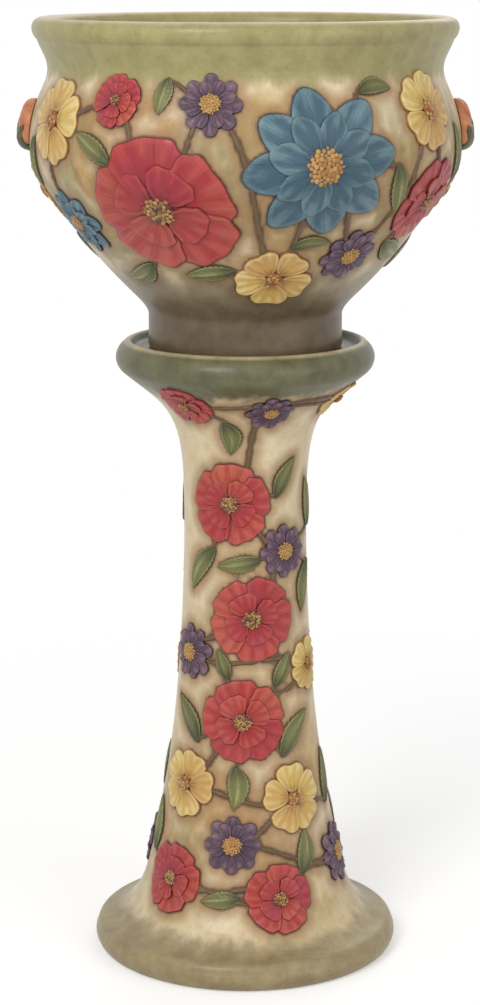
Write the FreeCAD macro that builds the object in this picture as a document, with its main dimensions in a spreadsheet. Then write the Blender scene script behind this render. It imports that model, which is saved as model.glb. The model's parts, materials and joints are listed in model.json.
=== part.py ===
import FreeCAD, Part

import math
import os

import Sketcher

# A glazed earthenware jardiniere on its stand, in millimetres.
# The origin is the middle of the stand's base, +Z is up, and the front looks along -Y.
# The bowl and the stand are two slip-cast shells. Two bud-shaped lugs and the raised flowers and
# leaves are pressed apart and luted on to them before the firing.
# Every size is kept in the spreadsheet. "rad" is a distance from the axis, "high" a height.

Vector = FreeCAD.Vector

doc = FreeCAD.newDocument("jardiniere_on_stand")
sheet = doc.addObject("Spreadsheet::Sheet", "sizes")

# The cross-section of the stand: name of the point, rad, high.
STAND_SECTION = {
    "stand_foot_inner": (110, 0),
    "stand_foot_outer": (119, 0),
    "plinth_low": (124, 5),
    "plinth_high": (124, 16),
    "plinth_top": (117, 23),
    "flare_toe": (103, 26),
    "flare_low": (85, 47),
    "flare_high": (77.5, 88),
    "column_low": (66, 140),
    "column_mid": (56, 215),
    "column_waist": (50.5, 310),
    "column_high": (49.5, 395),
    "throat_low": (53.5, 435),
    "throat_high": (67, 461),
    "collar_under": (87, 475),
    "collar_low": (99, 485),
    "collar_edge": (104.5, 495),
    "collar_top": (98, 508),
    "collar_crest": (93, 510),
    "seat_edge": (89, 504),
    "vent_top": (28, 504),
    "vent_low": (28, 491),
    "deck_under": (66, 491),
    "hollow_throat_high": (53, 479),
    "hollow_throat_low": (42, 446),
    "hollow_high": (38.5, 395),
    "hollow_waist": (39.5, 310),
    "hollow_mid": (45, 213),
    "hollow_low": (55, 137),
    "hollow_flare_high": (66, 80),
    "hollow_flare_low": (73, 38),
    "hollow_toe": (92, 14),
    "hollow_foot": (106, 10),
}

# The cross-section of the bowl.
BOWL_SECTION = {
    "bowl_under_middle": (0, 509),
    "bowl_under_edge": (63, 509),
    "foot_inner": (66, 504),
    "foot_outer": (75, 504),
    "foot_round": (78, 508),
    "foot_top": (78, 532),
    "hip_low": (79, 538),
    "hip_high": (92, 550),
    "belly_low": (116, 575),
    "belly_mid": (140, 606),
    "belly_high": (161, 634),
    "shoulder_low": (171, 655),
    "shoulder_high": (171.5, 680),
    "shoulder_top": (164, 704),
    "neck_low": (156.5, 718),
    "neck_high": (155, 731),
    "lip_under": (162, 742),
    "lip_low": (164, 748),
    "lip_edge": (168, 757),
    "lip_crest": (160, 765),
    "lip_inner": (152, 757),
    "inner_lip_low": (148.5, 745),
    "inner_neck": (145, 731),
    "inner_neck_low": (147, 714),
    "inner_shoulder_top": (154.5, 701),
    "inner_shoulder_high": (161, 680),
    "inner_shoulder_low": (161, 658),
    "inner_belly_high": (151, 640),
    "inner_belly_mid": (131, 613),
    "inner_belly_low": (104, 583),
    "inner_hip_high": (76, 554),
    "inner_hip_low": (66, 519),
    "floor_edge": (52, 519),
    "floor_middle": (0, 519),
}

# Other driving sizes.
SIZES = {
    "plinth_end_bend": 7.0,
    "plinth_bend": 10.0,
    "collar_low_bend": 14.0,
    "collar_high_bend": 16.0,
    "crest_bend": 5.0,
    "foot_bend": 4.5,
    "lip_bend": 8.0,
    "lip_under_bend": 12.0,
    "vent_bend": 2.0,
    "lug_high": 685.0,
    "lug_tall": 38.0,
    "lug_wide": 32.0,
    "lug_deep": 18.0,
    "lug_rise": 2.5,
    "lug_sepal_long": 30.0,
    "lug_sepal_wide": 13.0,
    "lug_sepal_deep": 12.0,
    "flower_half_thick": 6.0,
    "flower_sink": 2.2,
    "flower_heart_rise": 1.2,
    "leaf_half_thick": 5.0,
    "leaf_sink": 2.2,
}

# A flower's form: how many petals it has, and as shares of its diameter the length and the width
# of a petal, how far out its middle lies, and the diameter of the heart.
FLOWER_FORMS = {
    "poppy": {"petals": 5, "long": 0.42, "wide": 0.44, "out": 0.29, "heart": 0.28},
    "dahlia": {"petals": 8, "long": 0.40, "wide": 0.25, "out": 0.30, "heart": 0.28},
    "primrose": {"petals": 5, "long": 0.40, "wide": 0.38, "out": 0.30, "heart": 0.26},
    "aster": {"petals": 8, "long": 0.34, "wide": 0.22, "out": 0.33, "heart": 0.40},
}

# The flowers on the front of each shell, which the back repeats: name, form, then turn from the
# front in degrees (right is positive), height of the middle, diameter, and spin in degrees.
BOWL_FLOWERS = [
    ("dahlia_large", "dahlia", 20, 661, 124, 10),
    ("dahlia_small", "dahlia", -62, 612, 64, 0),
    ("poppy_large", "poppy", -24, 628, 116, 20),
    ("poppy_small", "poppy", 62, 628, 74, -15),
    ("poppy_bud", "poppy", -36, 707, 44, 30),
    ("primrose_left", "primrose", -60, 690, 70, 12),
    ("primrose_low", "primrose", 11, 573, 62, -20),
    ("primrose_right", "primrose", 56, 698, 64, 0),
    ("primrose_side", "primrose", 91, 630, 58, 40),
    ("aster_high", "aster", -9, 706, 50, 0),
    ("aster_low", "aster", 38, 590, 52, 10),
]
STAND_FLOWERS = [
    ("collar_poppy", "poppy", -38, 467, 46, 0),
    ("collar_aster", "aster", 16, 463, 40, 10),
    ("collar_primrose", "primrose", 72, 467, 42, 0),
    ("column_poppy_high", "poppy", -14, 384, 66, 15),
    ("column_aster_high", "aster", 38, 344, 46, 0),
    ("column_poppy_mid", "poppy", 6, 290, 70, -10),
    ("column_aster_mid", "aster", -54, 258, 48, 10),
    ("column_primrose_mid", "primrose", 66, 246, 46, 0),
    ("column_poppy_low", "poppy", -2, 206, 70, 30),
    ("base_primrose_left", "primrose", -48, 150, 58, 0),
    ("base_primrose_right", "primrose", 36, 140, 60, 20),
    ("base_aster_left", "aster", -8, 106, 50, 0),
    ("base_poppy_right", "poppy", 20, 62, 60, 10),
    ("base_aster_right", "aster", 74, 84, 54, 5),
    ("base_poppy_left", "poppy", -48, 72, 60, 0),
]
FLOWER_SIZES = ("turn", "high", "across", "spin")

# The leaves on the front: turn, height of the middle, length, width, and the way the tip points,
# in degrees from the right.
BOWL_LEAVES = [
    (-22, 713, 32, 13, 80),
    (37, 717, 30, 13, 5),
    (45, 640, 42, 15, -70),
    (-42, 672, 38, 15, 150),
    (-13, 577, 36, 15, 190),
    (21, 601, 30, 12, 10),
    (-44, 573, 40, 16, 205),
    (75, 664, 46, 18, 115),
    (-75, 656, 38, 15, 75),
    (62, 589, 44, 18, -20),
    (89, 584, 40, 17, 60),
]
STAND_LEAVES = [
    (-12, 440, 36, 15, 95),
    (37, 405, 36, 13, 65),
    (-44, 330, 40, 15, 60),
    (-6, 335, 32, 13, 10),
    (66, 312, 44, 16, 75),
    (76, 380, 44, 16, 100),
    (-19, 252, 26, 11, 110),
    (33, 247, 30, 12, 65),
    (42, 194, 42, 16, 50),
    (-52, 204, 42, 16, 130),
    (-6, 152, 36, 16, 90),
    (78, 148, 48, 18, 80),
    (-76, 108, 46, 18, 100),
    (40, 96, 36, 16, 80),
    (-14, 62, 30, 14, 190),
]
LEAF_SIZES = ("turn", "high", "long", "wide", "way")


def named_leaves(shell_name, leaves):
    return [(f"{shell_name}_leaf_{i}", *sizes) for i, sizes in enumerate(leaves, start=1)]


def driving_sizes():
    """Every driving size under the name of its cell."""
    cells = {}
    for section in (STAND_SECTION, BOWL_SECTION):
        for name, (rad, high) in section.items():
            cells[name + "_rad"] = rad
            cells[name + "_high"] = high
    cells.update(SIZES)
    for form, shares in FLOWER_FORMS.items():
        for share, value in shares.items():
            cells[f"{form}_{share}"] = value
    for name, _, *values in BOWL_FLOWERS + STAND_FLOWERS:
        cells.update({f"{name}_{key}": value for key, value in zip(FLOWER_SIZES, values)})
    leaves = named_leaves("bowl", BOWL_LEAVES) + named_leaves("stand", STAND_LEAVES)
    for name, *values in leaves:
        cells.update({f"{name}_{key}": value for key, value in zip(LEAF_SIZES, values)})
    return cells


def fill_sheet():
    for row, (alias, value) in enumerate(driving_sizes().items(), start=1):
        sheet.set(f"A{row}", alias)
        sheet.set(f"B{row}", str(value))
        sheet.setAlias(f"B{row}", alias)
    doc.recompute()


def size(alias):
    return float(getattr(sheet, alias))


def section_point(name):
    return Vector(size(name + "_rad"), size(name + "_high"), 0)


class SectionSketch:
    """A closed cross-section whose named points follow the spreadsheet."""

    def __init__(self, body, name, start):
        self.sketch = body.newObject("Sketcher::SketchObject", name)
        plane = [f for f in body.Origin.OriginFeatures if f.Role == "XZ_Plane"][0]
        self.sketch.AttachmentSupport = [(plane, "")]
        self.sketch.MapMode = "FlatFace"
        self.start = start
        self.here = start
        self.first = None
        self.last = None

    def bind(self, kind, geometry, position, alias):
        """Holds one coordinate of a point to a cell; a coordinate of nought lies on its axis."""
        axis = {"DistanceX": -2, "DistanceY": -1}[kind]
        if size(alias) == 0:
            self.sketch.addConstraint(
                Sketcher.Constraint("PointOnObject", geometry, position, axis)
            )
            return
        index = self.sketch.addConstraint(
            Sketcher.Constraint(kind, -1, 1, geometry, position, size(alias))
        )
        self.sketch.renameConstraint(index, alias)
        self.sketch.setExpression(f"Constraints.{alias}", f"sizes.{alias}")

    def place(self, geometry, position, name):
        self.bind("DistanceX", geometry, position, name + "_rad")
        self.bind("DistanceY", geometry, position, name + "_high")

    def join(self, geometry, end):
        """Joins a new edge to the one before it, and pins its end unless that closes the section."""
        if self.first is None:
            self.first = geometry
            self.place(geometry, 1, self.start)
        else:
            self.sketch.addConstraint(
                Sketcher.Constraint("Coincident", self.last, 2, geometry, 1)
            )
        if end == self.start:
            self.sketch.addConstraint(
                Sketcher.Constraint("Coincident", geometry, 2, self.first, 1)
            )
        else:
            self.place(geometry, 2, end)
        self.last = geometry
        self.here = end

    def line(self, end):
        edge = Part.LineSegment(section_point(self.here), section_point(end))
        self.join(self.sketch.addGeometry(edge, False), end)
        return self

    def arc(self, end, radius):
        """An arc of the radius in a cell, which bulges to the right of the way it runs."""
        a, b = section_point(self.here), section_point(end)
        chord = b - a
        half = chord.Length / 2
        rise = size(radius) - math.sqrt(size(radius) ** 2 - half**2)
        outward = Vector(chord.y, -chord.x, 0).normalize()
        edge = Part.Arc(a, (a + b) / 2 + outward * rise, b)
        geometry = self.sketch.addGeometry(edge, False)
        self.join(geometry, end)
        index = self.sketch.addConstraint(
            Sketcher.Constraint("Radius", geometry, size(radius))
        )
        self.sketch.setExpression(f"Constraints[{index}]", f"sizes.{radius}")
        return self

    def spline(self, poles, end):
        """A cubic curve drawn by its control points, each of them held to its cells."""
        names = [self.here, *poles, end]
        curve = spline_through(names)
        geometry = self.sketch.addGeometry(curve, False)
        self.join(geometry, end)
        self.sketch.exposeInternalGeometry(geometry)
        for offset, name in enumerate(names[1:-1], start=2):
            self.place(geometry + offset, 3, name)
        return self

    def close(self):
        return self.line(self.start)


def spline_through(names):
    curve = Part.BSplineCurve()
    curve.buildFromPoles([section_point(n) for n in names], False, 3)
    return curve


def revolve(body, section, name):
    feature = body.newObject("PartDesign::Revolution", name)
    feature.Profile = section.sketch
    feature.ReferenceAxis = (section.sketch, ["V_Axis"])
    feature.Angle = 360
    return feature


STAND_WALL = [
    "plinth_top",
    "flare_toe",
    "flare_low",
    "flare_high",
    "column_low",
    "column_mid",
    "column_waist",
    "column_high",
    "throat_low",
    "throat_high",
    "collar_under",
    "collar_low",
]
BOWL_WALL = [
    "foot_top",
    "hip_low",
    "hip_high",
    "belly_low",
    "belly_mid",
    "belly_high",
    "shoulder_low",
    "shoulder_high",
    "shoulder_top",
    "neck_low",
    "neck_high",
    "lip_under",
    "lip_low",
]


def make_stand():
    """The stand: a hollow column open below, with a collar round the seat on which the bowl stands."""
    body = doc.addObject("PartDesign::Body", "stand")
    body.Label = "stand"
    section = SectionSketch(body, "stand_section", "stand_foot_inner")
    section.line("stand_foot_outer")
    section.arc("plinth_low", "plinth_end_bend")
    section.arc("plinth_high", "plinth_bend")
    section.arc("plinth_top", "plinth_end_bend")
    section.spline(STAND_WALL[1:-1], "collar_low")
    section.arc("collar_edge", "collar_low_bend")
    section.arc("collar_top", "collar_high_bend")
    section.arc("collar_crest", "crest_bend")
    section.line("seat_edge")
    section.line("vent_top")
    section.line("vent_low")
    section.line("deck_under")
    section.spline(
        [
            "hollow_throat_high",
            "hollow_throat_low",
            "hollow_high",
            "hollow_waist",
            "hollow_mid",
            "hollow_low",
            "hollow_flare_high",
            "hollow_flare_low",
            "hollow_toe",
        ],
        "hollow_foot",
    )
    section.close()
    revolve(body, section, "stand_shell")
    doc.recompute()
    round_vent(body)
    return body


def round_vent(body):
    """Softens the rim of the hole in the seat, as the glaze does."""
    shell = body.Tip
    rims = [
        f"Edge{i}"
        for i, edge in enumerate(shell.Shape.Edges, start=1)
        if isinstance(edge.Curve, Part.Circle)
        and abs(edge.Curve.Radius - size("vent_top_rad")) < 0.01
    ]
    fillet = body.newObject("PartDesign::Fillet", "vent_rims")
    fillet.Base = (shell, rims)
    fillet.setExpression("Radius", "sizes.vent_bend")


def make_bowl():
    """The jardiniere: a round-bellied bowl with a drawn-in neck and a thick rolled lip."""
    body = doc.addObject("PartDesign::Body", "bowl")
    body.Label = "bowl"
    section = SectionSketch(body, "bowl_section", "bowl_under_middle")
    section.line("bowl_under_edge")
    section.line("foot_inner")
    section.line("foot_outer")
    section.arc("foot_round", "foot_bend")
    section.line("foot_top")
    section.spline(BOWL_WALL[1:-1], "lip_low")
    section.arc("lip_edge", "lip_under_bend")
    section.arc("lip_crest", "lip_bend")
    section.arc("lip_inner", "lip_bend")
    section.spline(
        [
            "inner_lip_low",
            "inner_neck",
            "inner_neck_low",
            "inner_shoulder_top",
            "inner_shoulder_high",
            "inner_shoulder_low",
            "inner_belly_high",
            "inner_belly_mid",
            "inner_belly_low",
            "inner_hip_high",
            "inner_hip_low",
        ],
        "floor_edge",
    )
    section.line("floor_middle")
    section.close()
    revolve(body, section, "bowl_shell")
    return body


class Wall:
    """The outside of a shell, as a curve from its foot to its rim that is turned about Z."""

    def __init__(self, names):
        self.curve = spline_through(names)

    def at_height(self, high):
        """The curve's parameter at a height."""
        low, top = self.curve.FirstParameter, self.curve.LastParameter
        for _ in range(50):
            middle = (low + top) / 2
            if self.curve.value(middle).y < high:
                low = middle
            else:
                top = middle
        return (low + top) / 2

    def frame(self, turn, high, across, along, way, sink):
        """The placement of a piece that lies on the wall. It starts at a turn and a height, is
        shifted across and along the wall, points its X the given way, and sinks by a depth."""
        start = self.at_height(high)
        here = self.curve.parameterAtDistance(along, start) if along else start
        point = self.curve.value(here)
        slope = self.curve.tangent(here)[0]
        angle = math.radians(turn) + across / point.x
        out = Vector(math.sin(angle), -math.cos(angle), 0)
        right = Vector(math.cos(angle), math.sin(angle), 0)
        up = out * slope.x + Vector(0, 0, slope.y)
        normal = out * slope.y - Vector(0, 0, slope.x)
        way = math.radians(way)
        x_axis = right * math.cos(way) + up * math.sin(way)
        y_axis = up * math.cos(way) - right * math.sin(way)
        rotation = FreeCAD.Rotation(x_axis, y_axis, normal, "ZXY")
        base = out * point.x + Vector(0, 0, point.y) - normal * sink
        return FreeCAD.Placement(base, rotation)


def lens(name, long, wide, half_thick, placement):
    """A flattened ellipsoid, the blank of a petal, leaf or heart. Its half sizes are expressions."""
    blank = doc.addObject("Part::Ellipsoid", name)
    blank.setExpression("Radius2", long)
    blank.setExpression("Radius3", wide)
    blank.setExpression("Radius1", half_thick)
    blank.Placement = placement
    return blank


def luted(label, blanks, shell):
    """Joins the blanks into one pressing and cuts its back to the wall that it is luted to."""
    if len(blanks) > 1:
        pressing = doc.addObject("Part::MultiFuse", label + "_pressing")
        pressing.Shapes = blanks
    else:
        pressing = blanks[0]
    piece = doc.addObject("Part::Cut", label)
    piece.Base = pressing
    piece.Tool = shell
    return piece


def group(label, pieces, placement=FreeCAD.Placement()):
    compound = doc.addObject("Part::Compound", label)
    compound.Links = pieces
    compound.Placement = placement
    compound.Label = label
    return compound


def make_flower(name, form, wall, shell):
    """One flower: its petals round a heart, on the wall."""
    turn, high, across, spin = (size(f"{name}_{key}") for key in FLOWER_SIZES)
    across_cell = f"sizes.{name}_across"
    petals = int(size(f"{form}_petals"))
    out = size(f"{form}_out") * across
    blanks = []
    for i in range(petals):
        way = spin + 360 * i / petals
        shift_right = out * math.cos(math.radians(way))
        shift_up = out * math.sin(math.radians(way))
        blanks.append(
            lens(
                f"{name}_petal",
                f"{across_cell} * sizes.{form}_long / 2",
                f"{across_cell} * sizes.{form}_wide / 2",
                "sizes.flower_half_thick",
                wall.frame(turn, high, shift_right, shift_up, way, size("flower_sink")),
            )
        )
    heart = f"{across_cell} * sizes.{form}_heart / 2"
    heart_sink = size("flower_sink") - size("flower_heart_rise")
    middle = wall.frame(turn, high, 0, 0, spin, heart_sink)
    blanks.append(lens(f"{name}_heart", heart, heart, "sizes.flower_half_thick", middle))
    return luted(f"{name}_front", blanks, shell)


def make_leaf(name, wall, shell):
    turn, high, _, _, way = (size(f"{name}_{key}") for key in LEAF_SIZES)
    blank = lens(
        f"{name}_blank",
        f"sizes.{name}_long / 2",
        f"sizes.{name}_wide / 2",
        "sizes.leaf_half_thick",
        wall.frame(turn, high, 0, 0, way, size("leaf_sink")),
    )
    return luted(name, [blank], shell)


def make_lug(label, turn, wall, shell):
    """A bud-shaped lug: a bud held by two sepals."""
    high = size("lug_high")
    bud = lens(
        label + "_bud",
        "sizes.lug_tall / 2",
        "sizes.lug_wide / 2",
        "sizes.lug_deep / 2",
        wall.frame(turn, high, 0, 0, 90, -size("lug_rise")),
    )
    sepals = []
    for side in (-1, 1):
        shift_right = side * size("lug_wide") * 0.4
        shift_up = -size("lug_tall") * 0.25
        sepals.append(
            lens(
                label + "_sepal",
                "sizes.lug_sepal_long / 2",
                "sizes.lug_sepal_wide / 2",
                "sizes.lug_sepal_deep / 2",
                wall.frame(turn, high, shift_right, shift_up, 90 - side * 20, 0),
            )
        )
    return luted(label, [bud, *sepals], shell)


def make_relief(shell_name, shell, wall, flowers, leaves):
    """The flowers and leaves of one shell: the front's, and the same again on the back."""
    fronts = {name: make_flower(name, form, wall, shell) for name, form, *_ in flowers}
    front_leaves = [make_leaf(name, wall, shell) for name, *_ in named_leaves(shell_name, leaves)]
    leaves_name = f"{shell_name}_leaves"
    fronts[leaves_name] = group(f"{leaves_name}_front", front_leaves)
    about_turn = FreeCAD.Placement(Vector(), FreeCAD.Rotation(Vector(0, 0, 1), 180))
    backs = [group(f"{name}_back", [front], about_turn) for name, front in fronts.items()]
    return [*fronts.values(), *backs]


def check(pieces):
    """Stops if an object failed or a piece isn't a valid closed solid."""
    for thing in doc.Objects:
        if {"Invalid", "Error"} & set(thing.State):
            raise RuntimeError(f"{thing.Name} did not build: {thing.State}")
    for piece in pieces:
        shape = piece.Shape
        if shape.isNull() or not shape.isValid() or not shape.Solids:
            raise RuntimeError(f"{piece.Label} is not a valid solid")


def main():
    fill_sheet()
    stand, bowl = make_stand(), make_bowl()
    stand_wall, bowl_wall = Wall(STAND_WALL), Wall(BOWL_WALL)
    pieces = [
        stand,
        bowl,
        make_lug("lug_right", 90, bowl_wall, bowl),
        make_lug("lug_left", -90, bowl_wall, bowl),
        *make_relief("bowl", bowl, bowl_wall, BOWL_FLOWERS, BOWL_LEAVES),
        *make_relief("stand", stand, stand_wall, STAND_FLOWERS, STAND_LEAVES),
    ]
    doc.recompute()
    check(pieces)
    os.makedirs("parts", exist_ok=True)
    for piece in pieces:
        piece.Shape.exportStep(f"parts/{piece.Label}.step")
        print(piece.Label, len(piece.Shape.Solids), round(piece.Shape.Volume))


main()
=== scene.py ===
import json
import math

import bmesh
import bpy
import numpy as np
from bpy.props import FloatProperty, FloatVectorProperty, IntProperty, PointerProperty
from mathutils import Matrix, Vector
from mathutils.bvhtree import BVHTree

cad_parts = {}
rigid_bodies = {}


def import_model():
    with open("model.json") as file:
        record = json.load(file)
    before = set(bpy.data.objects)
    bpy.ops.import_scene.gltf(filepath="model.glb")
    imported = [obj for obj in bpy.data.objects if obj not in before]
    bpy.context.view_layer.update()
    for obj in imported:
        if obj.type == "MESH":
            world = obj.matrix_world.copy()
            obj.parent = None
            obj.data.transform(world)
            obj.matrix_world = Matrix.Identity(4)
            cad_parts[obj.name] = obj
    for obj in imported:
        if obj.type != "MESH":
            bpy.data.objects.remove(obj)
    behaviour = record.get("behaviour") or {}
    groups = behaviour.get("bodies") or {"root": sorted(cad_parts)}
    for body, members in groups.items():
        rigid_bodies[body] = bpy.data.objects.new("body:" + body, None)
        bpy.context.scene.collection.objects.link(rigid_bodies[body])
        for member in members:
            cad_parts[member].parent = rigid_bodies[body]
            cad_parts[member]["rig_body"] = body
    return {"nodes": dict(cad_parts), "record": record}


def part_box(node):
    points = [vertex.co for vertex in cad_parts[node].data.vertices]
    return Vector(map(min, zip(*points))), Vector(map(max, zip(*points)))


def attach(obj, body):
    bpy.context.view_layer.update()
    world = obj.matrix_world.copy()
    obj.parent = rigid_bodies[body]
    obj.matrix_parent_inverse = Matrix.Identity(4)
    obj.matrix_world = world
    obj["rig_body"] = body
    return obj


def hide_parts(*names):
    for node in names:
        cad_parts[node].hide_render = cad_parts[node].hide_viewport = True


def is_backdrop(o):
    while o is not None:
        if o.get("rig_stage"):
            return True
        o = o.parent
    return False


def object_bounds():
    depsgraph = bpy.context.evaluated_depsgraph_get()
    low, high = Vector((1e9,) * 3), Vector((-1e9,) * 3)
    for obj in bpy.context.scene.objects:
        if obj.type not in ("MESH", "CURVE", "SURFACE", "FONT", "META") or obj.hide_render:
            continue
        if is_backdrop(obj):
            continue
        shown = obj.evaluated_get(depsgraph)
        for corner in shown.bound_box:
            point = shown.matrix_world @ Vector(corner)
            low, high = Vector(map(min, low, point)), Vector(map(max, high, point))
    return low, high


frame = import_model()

bl_info = {
    "name": "Glazed jardiniere on stand",
    "version": (1, 0, 0),
    "blender": (4, 5, 0),
    "location": "View3D > Sidebar > Jardiniere",
    "description": "Dresses an earthenware bowl and its stand with glaze, flowers and leaves",
    "category": "Add Mesh",
}

CAD_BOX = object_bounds()
MM = 0.001
FULL_TURN = 2 * math.pi
GOLDEN_ANGLE = math.pi * (3 - math.sqrt(5))
ORIGIN = (0.0, 0.0, 0.0)
# Points nearer than this are one point.
TOUCHING = 1e-6

# Cross-sections, as distance from the axis and height in millimetres. A wall is the decorated
# outside of a shell, drawn by the control points of a cubic curve from its foot to its rim.
STAND_WALL = [
    (117, 23), (103, 26), (85, 47), (77.5, 88), (66, 140), (56, 215),
    (50.5, 310), (49.5, 395), (53.5, 435), (67, 461), (87, 475), (99, 485),
]
STAND_HOLLOW = [
    (66, 491), (53, 479), (42, 446), (38.5, 395), (39.5, 310), (45, 213),
    (55, 137), (66, 80), (73, 38), (92, 14), (106, 10),
]
BOWL_WALL = [
    (78, 532), (79, 538), (92, 550), (116, 575), (140, 606), (161, 634), (171, 655),
    (171.5, 680), (164, 704), (156.5, 718), (155, 731), (162, 742), (164, 748),
]
BOWL_HOLLOW = [
    (152, 757), (148.5, 745), (145, 731), (147, 714), (154.5, 701), (161, 680), (161, 658),
    (151, 640), (131, 613), (104, 583), (76, 554), (66, 519), (52, 519),
]

# The forms of the flowers. Lengths are shares of the flower's diameter, and folds are counted
# across one petal.
FORM_INPUTS = (
    "Petals", "Inner Petals", "Inner Size", "Petal Length", "Petal Width", "Taper", "Point",
    "Notch", "Ruffle", "Ruffles", "Folds", "Fold Depth", "Cup", "Tilt", "Heart Size", "Seeds",
)
FORMS = {
    "poppy": (5, 4, 0.64, 0.42, 0.5, 0.34, 0, 0.04, 0.035, 9, 4, 0.5, 0.55, 0.85, 0.2, 40),
    "dahlia": (8, 8, 0.7, 0.4, 0.28, 0.05, 0.16, 0, 0, 3, 3, 0.46, 0.35, 0.55, 0.23, 60),
    "primrose": (5, 0, 0.5, 0.42, 0.43, 0.4, 0, 0.2, 0.012, 5, 4, 0.42, 0.45, 0.55, 0.2, 16),
    "aster": (8, 8, 0.8, 0.36, 0.235, 0.22, 0.04, 0.04, 0, 3, 2, 0.45, 0.2, 0.35, 0.32, 48),
}
FLOWER_FORMS = {kind: dict(zip(FORM_INPUTS, numbers)) for kind, numbers in FORMS.items()}
FLOWER_SLOTS = {
    "poppy": "red_glaze",
    "dahlia": "blue_glaze",
    "primrose": "yellow_glaze",
    "aster": "purple_glaze",
}
SHELLS = ("bowl", "stand")
SIDES = ("front", "back")


def colour(name, description, *chart):
    """A colour setting, given as a painter reads it off a chart, 0 to 255, and kept as light."""
    light = [((c / 255 + 0.055) / 1.055) ** 2.4 for c in chart]
    return FloatVectorProperty(
        name=name, description=description, default=light, min=0, max=1, size=3, subtype="COLOR"
    )


def length(name, description, default):
    """A setting of a length in metres."""
    return FloatProperty(
        name=name, description=description, default=default, min=0, unit="LENGTH", precision=4
    )


def share(name, description, default, least=0.0):
    """A setting of a share, at most 1."""
    return FloatProperty(
        name=name, description=description, default=default, min=least, max=1, subtype="FACTOR"
    )


def power(name, description, default):
    """A setting of a lamp's power in watts."""
    return FloatProperty(name=name, description=description, default=default, unit="POWER")


def colours(settings, *names):
    """Colours read from a group of settings, as plain numbers."""
    return [tuple(getattr(settings, name)) for name in names]


def tones(settings, glaze, heart="deep"):
    """A relief glaze's colours: its own, deep and light, and the two of what is in its middle."""
    return colours(settings, glaze, *(f"{glaze}_{k}" for k in ("deep", "light", heart, "deep")))


# ---------------------------------------------------------------- sections of the two shells


def b_spline(poles, count):
    """Points on the cubic curve that runs from the first control point to the last."""
    degree = 3
    spans = len(poles) - degree
    knots = [0] * degree + list(range(spans + 1)) + [spans] * degree
    points = []
    for step in range(count + 1):
        t = spans * step / count
        span = min(int(t), spans - 1) + degree
        near = [Vector(p) for p in poles[span - degree : span + 1]]
        for level in range(1, degree + 1):
            for j in range(degree, level - 1, -1):
                low, high = knots[span - degree + j], knots[span + 1 + j - level]
                near[j] = near[j - 1].lerp(near[j], (t - low) / (high - low))
        points.append(near[degree])
    return points


def bend(start, end, radius, count):
    """Points on an arc that bulges to the right of the way it runs."""
    a, b = Vector(start), Vector(end)
    chord = b - a
    right = Vector((chord.y, -chord.x)).normalized()
    centre = (a + b) / 2 - right * math.sqrt(radius**2 - (chord.length / 2) ** 2)
    sweep = 2 * math.asin(chord.length / 2 / radius)
    return [centre + Matrix.Rotation(sweep * i / count, 2) @ (a - centre) for i in range(count + 1)]


def run(start, end, step=4.0):
    """Points on a straight stretch."""
    a, b = Vector(start), Vector(end)
    count = max(1, round((b - a).length / step))
    return [a.lerp(b, i / count) for i in range(count + 1)]


def joined(*stretches):
    """One list of points, with the points where two stretches meet held once."""
    points = []
    for stretch in stretches:
        for point in stretch:
            if not points or (point - points[-1]).length > TOUCHING:
                points.append(point)
    return points


def stand_section():
    """The stand's section in millimetres, once round from its foot. Each point has two numbers,
    0 or 1: whether it is inside, and whether its clay is bare."""
    vent = 28
    seat = 504
    under_seat = 491
    outside = joined(
        bend((119, 0), (124, 5), 7, 5),
        bend((124, 5), (124, 16), 10, 6),
        bend((124, 16), (117, 23), 7, 6),
        b_spline(STAND_WALL, 190),
        bend((99, 485), (104.5, 495), 14, 8),
        bend((104.5, 495), (98, 508), 16, 9),
        bend((98, 508), (93, 510), 5, 5),
        run((93, 510), (89, seat), 2),
        run((89, seat), (vent + 2, seat)),
    )
    inside = joined(
        [Vector((vent + x, seat - y)) for x, y in ((2, 0), (0.6, 0.6), (0, 2))],
        run((vent, seat - 2), (vent, under_seat + 2)),
        [Vector((vent + x, under_seat + y)) for x, y in ((0, 2), (0.6, 0.6), (2, 0))],
        run((vent + 2, under_seat), (66, under_seat)),
        b_spline(STAND_HOLLOW, 70),
        run((106, 10), (110, 0)),
        run((110, 0), (119, 0)),
    )
    return [(p, 0.0, 0.0) for p in outside] + [(p, 1.0, 1.0) for p in inside[1:]]


def bowl_section():
    """The bowl's section, from the middle of its underside to the middle of its floor, with the
    same two numbers at each point."""
    seat = 504
    under = joined(
        run((0, 509), (63, 509), 5),
        run((63, 509), (66, seat), 2),
        run((66, seat), (75, seat), 3),
    )
    outside = joined(
        bend((75, seat), (78, 508), 4.5, 4),
        run((78, 508), (78, 532), 3),
        b_spline(BOWL_WALL, 150),
        bend((164, 748), (168, 757), 12, 8),
        bend((168, 757), (160, 765), 8, 8),
        bend((160, 765), (152, 757), 8, 8),
    )
    inside = joined(b_spline(BOWL_HOLLOW, 84), run((52, 519), (0, 519), 5))
    return (
        [(p, 1.0, 1.0) for p in under]
        + [(p, 0.0, 0.0) for p in outside[1:]]
        + [(p, 1.0, 0.0) for p in inside[1:]]
    )


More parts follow.
